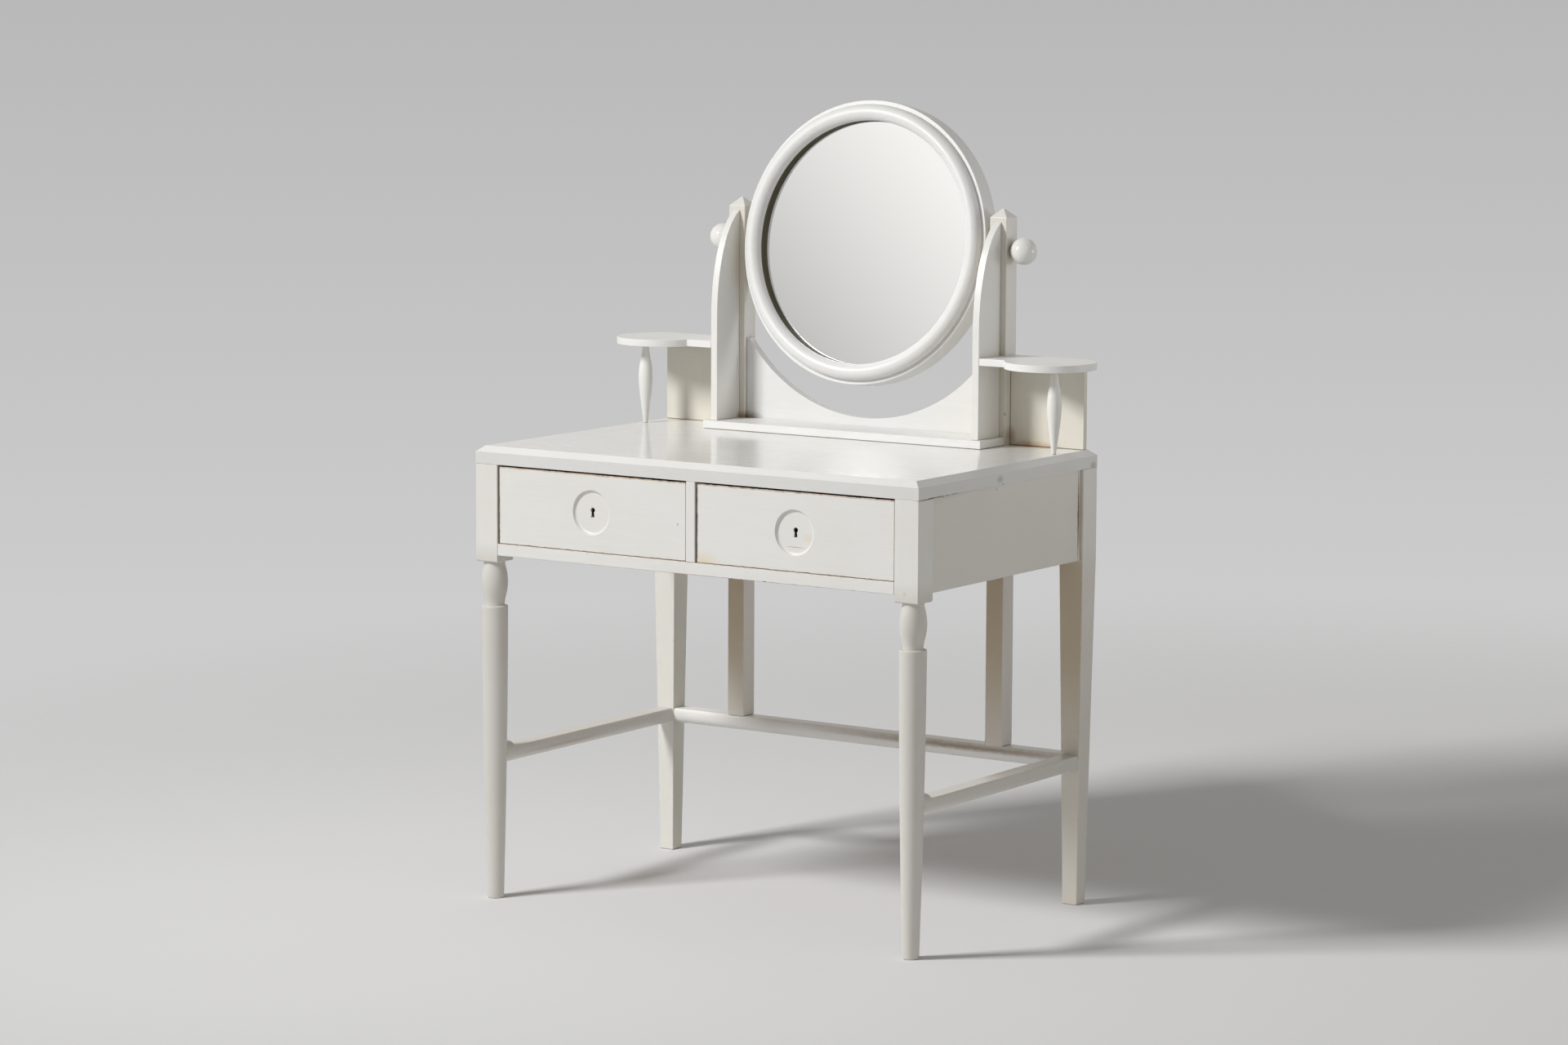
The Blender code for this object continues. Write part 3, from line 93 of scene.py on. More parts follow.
def hold(piece: Piece) -> None:
    """Select one piece alone and make it active."""
    let_go()
    piece.select_set(True)
    bpy.context.view_layer.objects.active = piece


def take_new(name: str) -> Piece:
    """Name the primitive that was just added, and start to edit all of it.

    Args:
        name: name of the piece.

    Returns:
        The piece, in edit mode with everything selected.
    """
    piece = bpy.context.active_object
    piece.name = piece.data.name = name
    bpy.ops.object.mode_set(mode="EDIT")
    bpy.ops.mesh.select_all(action="SELECT")
    return piece


def close_up(piece: Piece) -> Piece:
    """Merge doubled points, turn the faces outwards and settle the piece at the origin.

    Args:
        piece: the piece that is being edited.

    Returns:
        The same piece, in object mode.
    """
    bpy.ops.mesh.select_all(action="SELECT")
    bpy.ops.mesh.remove_doubles(threshold=WELD)
    bpy.ops.mesh.normals_make_consistent(inside=False)
    bpy.ops.object.mode_set(mode="OBJECT")
    settle(piece)
    return piece


def settle(piece: Piece) -> None:
    """Move a piece's place, turn and scale into its mesh."""
    hold(piece)
    bpy.ops.object.transform_apply(location=True, rotation=True, scale=True)


def stand(piece: Piece, turn: Turn, place: Sequence[float],
          tilt: float = 0.0) -> Piece:
    """Turn a piece, tilt it about X and put it in its place.

    Args:
        piece: a piece modelled round the origin.
        turn: the first turn.
        place: where its own origin goes.
        tilt: angle about X, after the turn, in radians.

    Returns:
        The same piece.
    """
    piece.rotation_euler = turn.value
    settle(piece)
    piece.rotation_euler = (tilt, 0.0, 0.0)
    piece.location = place
    settle(piece)
    return piece


def turned(name: str, profile: Sequence[Point], sides: int,
           closed: bool = False) -> Piece:
    """Turn a piece on the lathe: a circle is extruded ring by ring along a profile.

    Args:
        name: name of the piece.
        profile: radius and height of each ring.
        sides: points round each ring.
        closed: whether the profile comes back to its first ring.

    Returns:
        The turned piece, round the Z axis.
    """
    let_go()
    radius, height = profile[0]
    bpy.ops.mesh.primitive_circle_add(vertices=sides, radius=radius,
                                      location=(0.0, 0.0, height),
                                      fill_type="NOTHING" if closed else "NGON")
    piece = take_new(name)
    rings = list(profile[1:]) + ([profile[0]] if closed else [])
    for next_radius, next_height in rings:
        bpy.ops.mesh.extrude_region_move(
            TRANSFORM_OT_translate={"value": (0.0, 0.0, next_height - height)})
        grow = next_radius / radius
        bpy.ops.transform.resize(value=(grow, grow, 1.0),
                                 center_override=(0.0, 0.0, next_height))
        radius, height = next_radius, next_height
    return close_up(piece)


def plate(name: str, outline: Sequence[Point], thickness: float) -> Piece:
    """Saw a plate: one point is extruded along the outline, filled and given its thickness.

    Args:
        name: name of the piece.
        outline: points in the piece's own XY plane.
        thickness: along Z, half of it on each side of the plane.

    Returns:
        The plate.
    """
    let_go()
    x, y = outline[0]
    bpy.ops.mesh.primitive_plane_add(size=thickness, location=(x, y, -thickness / 2))
    piece = take_new(name)
    bpy.ops.mesh.merge(type="CENTER")
    for next_x, next_y in outline[1:]:
        bpy.ops.mesh.extrude_region_move(
            TRANSFORM_OT_translate={"value": (next_x - x, next_y - y, 0.0)})
        x, y = next_x, next_y
    bpy.ops.mesh.select_all(action="SELECT")
    bpy.ops.mesh.edge_face_add()
    bpy.ops.mesh.extrude_region_move(TRANSFORM_OT_translate={"value": (0.0, 0.0, thickness)})
    return close_up(piece)


def sawn(name: str, low: Sequence[float], high: Sequence[float]) -> Piece:
    """Saw a square block between two corners.

    Args:
        name: name of the block.
        low: one corner.
        high: the opposite corner.

    Returns:
        The block.
    """
    let_go()
    middle = [(a + b) / 2 for a, b in zip(low, high)]
    bpy.ops.mesh.primitive_cube_add(size=1.0, location=middle)
    piece = take_new(name)
    bpy.ops.transform.resize(value=[abs(b - a) for a, b in zip(low, high)],
                             center_override=middle)
    return close_up(piece)


def combine(piece: Piece, tool: Piece, operation: str) -> None:
    """Join a second shape to a piece or cut it away, and remove the second shape.

    Args:
        piece: the piece that stays.
        tool: the shape that is used up.
        operation: UNION or DIFFERENCE.
    """
    change = piece.modifiers.new(operation.lower(), "BOOLEAN")
    change.operation = operation
    change.solver = "EXACT"
    change.object = tool
    hold(piece)
    bpy.ops.object.modifier_apply(modifier=change.name)
    hold(tool)
    bpy.ops.object.delete()


def rounded(piece: Piece, width: float, angle: float = 40.0) -> Piece:
    """Round the sharp edges, as sandpaper and brushed paint leave them, and shade smoothly.

    Args:
        piece: the piece.
        width: width of the rounding in metres, or zero for none.
        angle: degrees from which an edge counts as sharp.

    Returns:
        The same piece.
    """
    hold(piece)
    if width:
        easing = piece.modifiers.new("easing", "BEVEL")
        easing.width = width
        easing.segments = 3
        easing.limit_method = "ANGLE"
        easing.angle_limit = math.radians(angle)
        bpy.ops.object.modifier_apply(modifier=easing.name)
    bpy.ops.object.shade_smooth_by_angle(angle=math.radians(angle))
    flatten = piece.modifiers.new("flat faces", "WEIGHTED_NORMAL")
    flatten.keep_sharp = True
    bpy.ops.object.modifier_apply(modifier=flatten.name)
    return piece


def mirrored(piece: Piece) -> Piece:
    """Copy a right-hand piece to the left.

    Args:
        piece: the right-hand piece.

    Returns:
        The left-hand piece, with a mesh of its own.
    """
    hold(piece)
    bpy.ops.object.duplicate(linked=False)
    twin = bpy.context.active_object
    twin.name = twin.data.name = piece.name.replace("right", "left")
    twin.scale.x = -1.0
    settle(twin)
    bpy.ops.object.mode_set(mode="EDIT")
    return close_up(twin)


def both_sides(piece: Piece, width: float, angle: float = 40.0) -> dict[str, Piece]:
    """Copy a right-hand piece to the left and round both.

    Args:
        piece: the right-hand piece.
        width: width of the rounding in metres, or zero for none.
        angle: degrees from which an edge counts as sharp.

    Returns:
        The piece of each side.
    """
    pair = {"right": piece, "left": mirrored(piece)}
    for one in pair.values():
        rounded(one, width, angle)
    return pair


def arc(centre: Point, radius: float, start: float, end: float, count: int) -> list[Point]:
    """Place points along an arc.

    Args:
        centre: centre of the arc.
        radius: its radius.
        start: first angle in degrees.
        end: last angle in degrees.
        count: number of steps.

    Returns:
        The points, ends included.
    """
    angles = [math.radians(start + (end - start) * i / count) for i in range(count + 1)]
    return [(centre[0] + radius * math.cos(a), centre[1] + radius * math.sin(a))
            for a in angles]


def flowing(points: Sequence[Point], steps: int) -> list[Point]:
    """Draw a smooth line through points, as a turner's gouge runs.

    Args:
        points: the points that the line passes through.
        steps: steps between two points.

    Returns:
        The points of the line.
    """
    ends = [points[0], *points, points[-1]]
    line = []
    for before, start, end, after in zip(ends, ends[1:], ends[2:], ends[3:]):
        for i in range(steps):
            t = i / steps
            line.append(tuple(
                0.5 * (2 * b + (c - a) * t + (2 * a - 5 * b + 4 * c - d) * t**2
                       + (3 * b - a - 3 * c + d) * t**3)
                for a, b, c, d in zip(before, start, end, after)))
    return line + [points[-1]]


def fit(piece: Piece, finish: Material, *nodes: str, body: str = "table",
        slot: str = "old_paint") -> None:
    """Dress a modelled piece, let it ride on its body and stand for its CAD nodes.

    Args:
        piece: the finished piece.
        finish: its material.
        nodes: CAD nodes that it stands for.
        body: name of the body that carries it.
        slot: not used.
    """
    piece.data.materials.clear()
    piece.data.materials.append(finish)
    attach(piece, body)
    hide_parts(*nodes)
    LOG.info("%s: %d faces, rides on %s", piece.name, len(piece.data.polygons), body)


def dress(finish: Material, *names: str) -> None:
    """Give CAD nodes a finish.

    Args:
        finish: the material for all their slots.
        names: names of the nodes.
    """
    for name in names:
        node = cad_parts[name]
        if not node.material_slots:
            node.data.materials.append(finish)
        for slot in node.material_slots:
            slot.material = finish
        LOG.info("%s: CAD node in %s", name, finish.name)


# Finishes

def linear(hex_colour: str) -> tuple[float, float, float, float]:
    """Turn an sRGB hex colour into linear light.

    Args:
        hex_colour: a colour such as #D9D8D3.

    Returns:
        Red, green, blue and full opacity.
    """
    values = [int(hex_colour[i:i + 2], 16) / 255 for i in (1, 3, 5)]
    light = [v / 12.92 if v <= 0.04045 else ((v + 0.055) / 1.055) ** 2.4 for v in values]
    return (*light, 1.0)


def add(tree: Tree, kind: str, inputs: Sequence | dict = (), out: str = "",
        **settings: object) -> Socket | None:
    """Add one shader node with its settings and links.

    Args:
        tree: node tree of a material, lamp or world.
        kind: type of node, without ShaderNode.
        inputs: value, hex colour or feeding socket of each input, in order or by name.
        out: name of the output to take, or nothing for the first one in use.
        settings: attributes to set.

    Returns:
        The output.
    """
    made = tree.nodes.new("ShaderNode" + kind)
    for name, value in settings.items():
        setattr(made, name, value)
    for name, value in inputs.items() if isinstance(inputs, dict) else enumerate(inputs):
        if isinstance(value, Socket):
            tree.links.new(value, made.inputs[name])
        else:
            value = linear(value) if isinstance(value, str) else value
            made.inputs[name].default_value = value
    if out:
        return made.outputs[out]
    return next((socket for socket in made.outputs if socket.enabled), None)


def empty_material(name: str) -> tuple[Material, Tree]:
    """Start a material with no nodes.

    Args:
        name: name of the material.

    Returns:
        The material and its node tree.
    """
    material = bpy.data.materials.new(name)
    material.use_nodes = True
    material.node_tree.nodes.clear()
    return material, material.node_tree


def stretched(tree: Tree, place: Socket, grain: Grain, size: Point,
              noise: dict[str, float]) -> Socket:
    """Draw noise that runs along the grain at its real size.

    Args:
        tree: the material's nodes.
        place: place on the object.
        grain: direction that the noise follows.
        size: its length along the grain and its width across, in metres.
        noise: settings of the noise.

    Returns:
        The noise.
    """
    scale = [1 / size[1]] * 3
    scale[grain.value] = 1 / size[0]
    lines = add(tree, "Mapping", {"Vector": place, "Scale": scale})
    return add(tree, "TexNoise", {"Vector": lines, "Scale": 1.0, **noise})


@dataclass(frozen=True)
class Mark:
    """One stain, knot, crack or scratch, as a patch of colour in the piece's own space."""

    place: Triple   # across, back from the table's front, and up
    reach: Triple
    colour: str = "#4A3722"
    most: float = 0.6
    core: float = 0.3                   # share of the reach that keeps the full colour

    def over(self, tree: Tree, place: Socket,
             colour: Socket) -> Socket:
        """Lay the mark over a colour.

        Args:
            tree: the material's nodes.
            place: place on the object, slightly uneven.
            colour: the colour below.

        Returns:
            The colour with the mark.
        """
        x, y, z = self.place
        way = add(tree, "VectorMath", [place, (x, FRONT_Y + y, z)], operation="SUBTRACT")
        way = add(tree, "VectorMath", [way, self.reach], operation="DIVIDE")
        far = add(tree, "VectorMath", [way], operation="LENGTH")
        share = add(tree, "MapRange", [far, 1.0, self.core, 0.0, self.most])
        return add(tree, "Mix", {0: share, 6: colour, 7: self.colour}, data_type="RGBA")


@dataclass(frozen=True)
class BrushedEnamel:
    """Oil enamel brushed on wood and yellowed with age.

    A soft broken shine, faint brush lines, small chips on the edges, and painted shade: cream
    and brown in the corners (the brown also dirt in the seams), tan on faces that get less of
    the lamp's light.
    """

    name: str
    grain: Grain = Grain.ACROSS
    colour: str = "#E5E4E1"
    # cream: yellowed patches and the warm painted shade in corners; the brown below: dirt in
    # seams and painted shade in corners
    cream: str = "#CDBE98"
    dirt: str = "#5E4326"
    wood: str = "#6B4C30"
    # tan painted shade, for faces that get less of the lamp's light
    tan: str = "#C2B59E"
    tan_front: float = 0.0              # share of tan painted shade on the faces that look forward
    tan_side: float = 0.0               # on those that look sideways
    tan_low: float = 0.0                # and on all faces; less of all three above the legs
    marks: tuple[Mark, ...] = ()
    tan_rise: Point = (0.22, 0.44)      # heights between which the front's tan painted shade grows
    case_foot: Point = (0.60, 0.57)     # and between which all tan painted shade fades on the case
    roughness: float = 0.36
    streak_length: float = 70 * MM
    streak_width: float = 1.3 * MM      # coarser than real bristles, so that it shows
    streak_depth: float = 0.03 * MM
    cloud_size: float = 130 * MM
    # reach and share of the cream painted shade in corners, then of the brown dirt and painted
    # shade in seams
    warm_shade_reach: float = 70 * MM
    cream_most: float = 0.5
    dirt_and_shade_reach: float = 7 * MM
    dirt_most: float = 0.6
    chip_size: float = 5 * MM
    chip_edge: float = 0.9 * MM
    wander_size: float = 9 * MM
    wander: float = 2 * MM              # how far the edge of a mark wanders

    def material(self) -> Material:
        """Build the material."""
        material, tree = empty_material(self.name)
        place = add(tree, "TexCoord", out="Object")
        streaks = stretched(tree, place, self.grain, (self.streak_length, self.streak_width),
                            {"Detail": 3.0, "Roughness": 0.6})
        clouds = add(tree, "TexNoise", {"Vector": place, "Scale": 1 / self.cloud_size,
                                        "Detail": 2.0})
        # occlusion layers: cream painted shade in corners, brown dirt with painted shade in
        # seams
        layers = [(self.corners(tree, clouds, self.warm_shade_reach, self.cream_most), self.cream),
                  (self.corners(tree, clouds, self.dirt_and_shade_reach, self.dirt_most), self.dirt),
                  (self.chips(tree, place, clouds), self.wood)]
        # tan painted shade, laid under the other layers
        if self.tan_front or self.tan_side or self.tan_low:
            layers.insert(0, (self.unbleached(tree, place), self.tan))
        colour = self.worn(tree, clouds, streaks)
        for share, layer in layers:
            colour = add(tree, "Mix", {0: share, 6: colour, 7: layer}, data_type="RGBA")
        if self.marks:
            noise = add(tree, "TexNoise", {"Vector": place, "Scale": 1 / self.wander_size,
                                           "Detail": 3.0}, "Color")
            uneven = add(tree, "VectorMath", [noise, (2 * self.wander,) * 3,
                                              (-self.wander,) * 3], operation="MULTIPLY_ADD")
            uneven = add(tree, "VectorMath", [place, uneven], operation="ADD")
            for mark in self.marks:
                colour = mark.over(tree, uneven, colour)
        shine = add(tree, "MapRange", [streaks, 0.3, 0.7, self.roughness - 0.05,
                                       self.roughness + 0.06])
        bump = add(tree, "Bump", {"Height": streaks, "Strength": 0.5,
                                  "Distance": self.streak_depth})
        shader = add(tree, "BsdfPrincipled", {"Base Color": colour, "Roughness": shine,
                                              "IOR": 1.5, "Normal": bump})
        add(tree, "OutputMaterial", [shader])
        return material

    def worn(self, tree: Tree, clouds: Socket, streaks: Socket) -> Socket:
        """Mix the paint's colour with slightly yellowed patches and darker brush lines.

        Args:
            tree: the material's nodes.
            clouds: slow noise.
            streaks: noise along the grain.

        Returns:
            The colour.
        """
        patches = add(tree, "MapRange", [clouds, 0.4, 0.75, 0.0, 0.09])
        colour = add(tree, "Mix", {0: patches, 6: self.colour, 7: self.cream},
                     data_type="RGBA")
        lines = add(tree, "MapRange", [streaks, 0.35, 0.65, 0.98, 1.005])
        return add(tree, "Mix", {0: 1.0, 6: colour, 7: lines}, data_type="RGBA",
                   blend_type="MULTIPLY")

    def unbleached(self, tree: Tree, place: Socket) -> Socket:
        """Find where the tan painted shade goes: faces looking forward or sideways, and all
        faces for the low share, strongest under the case.

        Args:
            tree: the material's nodes.
            place: place on the object.

        Returns:
            The share of tan painted shade.
        """
        normal = add(tree, "NewGeometry", out="Normal")
        facing = add(tree, "SeparateXYZ", [normal]).node.outputs
        front = add(tree, "MapRange", [facing["Y"], -0.5, -0.9, 0.0, self.tan_front])
        aside = add(tree, "Math", [facing["X"]], operation="ABSOLUTE")
        aside = add(tree, "MapRange", [aside, 0.5, 0.9, self.tan_low,
                                       self.tan_side + self.tan_low])
        height = add(tree, "SeparateXYZ", [place], "Z")
        dark = add(tree, "MapRange", [height, *self.tan_rise, 0.4],
                   interpolation_type="SMOOTHSTEP")
        front = add(tree, "Math", [front, dark], operation="MULTIPLY")
        under = add(tree, "MapRange", [height, *self.case_foot, 0.35])
        both = add(tree, "Math", [front, aside], operation="ADD")
        return add(tree, "Math", [both, under], operation="MULTIPLY")

    def corners(self, tree: Tree, clouds: Socket, reach: float, most: float) -> Socket:
        """Find inner corners and gaps by occlusion, for painted shade there, and for dirt in
        the narrow seams.

        Args:
            tree: the material's nodes.
            clouds: slow noise that breaks the edge of the darkening.
            reach: how far the darkening runs from the corner, in metres.
            most: share of the darkening in the deepest corner.

        Returns:
            The share of the darkening.
        """
        depth = add(tree, "AmbientOcclusion", {"Distance": reach}, "AO", samples=6)
        uneven = add(tree, "MapRange", [clouds, 0.3, 0.7, 0.35, 0.6])
        return add(tree, "MapRange", [depth, uneven, 0.02, 0.0, most])

    def chips(self, tree: Tree, place: Socket, clouds: Socket) -> Socket:
        """Find small chips on outer edges.

        Args:
            tree: the material's nodes.
            place: place on the object.
            clouds: slow noise that spares most edges.

        Returns:
            One on a chip, else zero.
        """
        soft = add(tree, "Bevel", {"Radius": self.chip_edge}, samples=4)
        hard = add(tree, "NewGeometry", out="Normal")
        same = add(tree, "VectorMath", [soft, hard], operation="DOT_PRODUCT")
        edge = add(tree, "MapRange", [same, 0.99, 0.93])
        spots = add(tree, "TexNoise", {"Vector": place, "Scale": 1 / self.chip_size,
                                       "Detail": 3.0})
        spots = add(tree, "MapRange", [spots, 0.60, 0.66])
        some = add(tree, "MapRange", [clouds, 0.5, 0.58])
        both = add(tree, "Math", [edge, spots], operation="MULTIPLY")
        return add(tree, "Math", [both, some], operation="MULTIPLY")


@dataclass(frozen=True)
class PlainWood:
    """Unpainted wood, planed and browned with age: dull, with lines along the grain."""

    name: str
    grain: Grain
    light: str = "#A07A4C"
    dark: str = "#6E4E2E"
    line_length: float = 180 * MM
    line_width: float = 4 * MM
    roughness: float = 0.62
    line_depth: float = 0.15 * MM

    def material(self) -> Material:
        """Build the material."""
        material, tree = empty_material(self.name)
        place = add(tree, "TexCoord", out="Object")
        figure = stretched(tree, place, self.grain, (self.line_length, self.line_width),
                           {"Detail": 5.0, "Distortion": 0.6})
        share = add(tree, "MapRange", [figure, 0.3, 0.7])
        colour = add(tree, "Mix", {0: share, 6: self.light, 7: self.dark}, data_type="RGBA")
        bump = add(tree, "Bump", {"Height": figure, "Strength": 0.5,
                                  "Distance": self.line_depth})
        shader = add(tree, "BsdfPrincipled", {
            "Base Color": colour, "Roughness": self.roughness, "IOR": 1.45, "Normal": bump})
        add(tree, "OutputMaterial", [shader])
        return material


@dataclass(frozen=True)
class Metal:
    """Metal with fine marks: dull where handled or oxidised, or a clean mirror coat."""

    name: str
    colour: str
    roughness: float
    unevenness: float = 0.08
    mark_size: float = 6 * MM

    def material(self) -> Material:
        """Build the material."""
        material, tree = empty_material(self.name)
        place = add(tree, "TexCoord", out="Object")
        marks = add(tree, "TexNoise", {"Vector": place, "Scale": 1 / self.mark_size,
                                       "Detail": 4.0})
        shine = add(tree, "MapRange", [marks, 0.35, 0.65,
                                       max(self.roughness - self.unevenness, 0.0),
                                       self.roughness + self.unevenness])
        shader = add(tree, "BsdfPrincipled", {"Base Color": self.colour, "Metallic": 1.0,
                                              "Roughness": shine})
        add(tree, "OutputMaterial", [shader])
        return material


OCHRE = "#B8874A"
EVERYWHERE = 2.0                # longer than the piece, so that a mark runs along all of it
SEAM = Mark((0.4315, 0.070, 0.7306), (0.010, 0.095, 0.0018), "#4A3722", 0.90)
BOARD_MARKS = (
    # ochre wedge at the foot of the right shelf's back, and knots in the board's end
    Mark((0.315, 0.532, 0.760), (0.075, 0.030, 0.006), "#A8793C", 0.90, 0.1),
    Mark((0.4315, 0.2447, 0.7403), (0.010, 0.013, 0.008), "#8E857C", 0.45, 0.2),
    Mark((0.4315, 0.2537, 0.7313), (0.010, 0.0036, 0.0030), "#3F3226", 0.85),
    Mark((0.4315, 0.5401, 0.7349), (0.010, 0.012, 0.008), "#8A8478", 0.50),
    SEAM,
)
LEG_MARKS = (
    Mark((0.4068, 0.0, 0.5821), (0.0048, 0.010, 0.0048), "#C9B08A", 0.40),
    Mark((-0.3930, 0.20, 0.2375), (0.020, 0.17, 0.0050), "#9A7B60", 0.40, 0.0),
    SEAM,
)
# Brown band along the front of the rear bar: painted shade of the case above, warmed
REAR_BAR_SHADE_MARKS = (
    Mark((0.21, 0.512, 0.2455), (0.34, 0.018, 0.0075), "#87704E", 0.75, 0.2),
)
RAIL_MARKS = (
    Mark((0.1449, 0.0, 0.5800), (0.006, 0.010, 0.0018), "#6E6352", 0.70),
    Mark((0.2014, 0.0, 0.5796), (0.014, 0.010, 0.0013), "#6E6352", 0.55),
    Mark((0.2450, 0.0, 0.5796), (0.009, 0.010, 0.0012), "#6E6352", 0.50),
    Mark((0.3118, 0.0, 0.5797), (0.007, 0.010, 0.0016), "#6E6352", 0.70),
    Mark((0.0, 0.0, 0.6001), (EVERYWHERE, 0.010, 0.0012), OCHRE, 0.50, 0.1),
    Mark((0.10, 0.0, 0.5797), (0.28, 0.010, 0.0016), "#6E6352", 0.65, 0.2),
)
# Hidden edges: bare wood, dark brown, and near-black lines in the gaps and keyholes as painted
# shade; the paint rubbed to ochre beside them
DRAWER_MARKS = (
    # top edge: bare wood, dark brown, partly painted shade of the gap above it
    Mark((0.0, 0.0138, 0.7297), (EVERYWHERE, 0.0110, 0.0060), "#3A2A1A", 1.0, 0.85),
    Mark((0.0, 0.0028, 0.7267), (EVERYWHERE, 0.0030, 0.0013), OCHRE, 0.75, 0.2),
    # near-black line at the top gap: painted shade
    Mark((0.0, 0.0028, 0.7297), (EVERYWHERE, 0.0040, 0.0021), "#170F09", 0.97, 0.85),
    Mark((0.0, 0.0128, 0.6006), (EVERYWHERE, 0.05, 0.0009), "#5A3F20", 0.75, 0.3),
    Mark((0.0127, 0.0128, 0.66), (0.0010, 0.05, EVERYWHERE), OCHRE, 0.55, 0.2),
    Mark((0.0101, 0.0128, 0.66), (0.0019, 0.05, EVERYWHERE), "#241910", 0.95, 0.85),
    Mark((-0.3835, 0.0128, 0.66), (0.0010, 0.05, EVERYWHERE), OCHRE, 0.55, 0.2),
    Mark((-0.3861, 0.0128, 0.66), (0.0019, 0.05, EVERYWHERE), "#4A3A2A", 0.90, 0.85),
    Mark((0.026, 0.0028, 0.603), (0.034, 0.012, 0.019), "#DCC69A", 0.45, 0.1),
    Mark((-0.0267, 0.0028, 0.6588), (0.0016, 0.012, 0.0034), "#8E877A", 0.80),
    Mark((0.199, 0.0073, 0.6393), (0.024, 0.003, 0.0012), "#A98F66", 0.65),
    Mark((0.222, 0.0073, 0.6543), (0.013, 0.003, 0.012), "#DCC69A", 0.30, 0.0),
    # near-black keyhole walls: painted shade inside the holes
    Mark((0.198125, 0.0165, 0.6629), (0.0066, 0.0095, 0.0115), "#0C0906", 1.0, 0.8),
    Mark((-0.198125, 0.0165, 0.6651), (0.0066, 0.0095, 0.0115), "#0C0906", 1.0, 0.8),
)
GALLERY_MARKS = (
    # brown in the corners where posts, fins and shelf backs meet the top
    Mark((-0.2440, 0.518, 0.775), (0.038, 0.018, 0.012), "#7A5E36", 0.88, 0.0),
    Mark((0.2790, 0.530, 0.775), (0.012, 0.030, 0.020), "#8A6A3C", 0.50, 0.1),
    Mark((0.3250, 0.540, 0.7605), (0.065, 0.020, 0.0110), "#A8793C", 0.90, 0.0),
    Mark((0.2796, 0.513, 0.8114), (0.0045, 0.006, 0.0050), "#A98A5E", 0.80, 0.2),
    Mark((0.4220, 0.531, 0.822), (0.003, 0.014, 0.007), "#7A4A30", 0.75),
    Mark((0.4220, 0.531, 0.843), (0.002, 0.014, 0.004), "#7A4A30", 0.65),
)
PANEL_MARKS = (
    Mark((0.4315, 0.0795, 0.7294), (0.010, 0.0045, 0.0022), "#2E2318", 0.90),
    SEAM,
    Mark((0.4315, 0.2425, 0.7244), (0.010, 0.005, 0.003), "#6B6050", 0.55),
    Mark((0.4315, 0.0442, 0.6132), (0.010, 0.0010, 0.0045), "#4A4438", 0.70),
    Mark((0.4315, 0.5050, 0.6550), (0.020, 0.0030, 0.090), "#B8935A", 0.65),
    # near-black strip where the panel meets the back leg: painted shade
    Mark((0.4315, 0.5012, 0.6550), (0.020, 0.0030, 0.100), "#33240F", 0.95),
)


def paint(name: str, grain: Grain = Grain.ACROSS, **settings: object) -> Material:
    """Brush on one kind of enamel, named for how it looks now."""
    return BrushedEnamel("oil_enamel_" + name, grain, **settings).material()


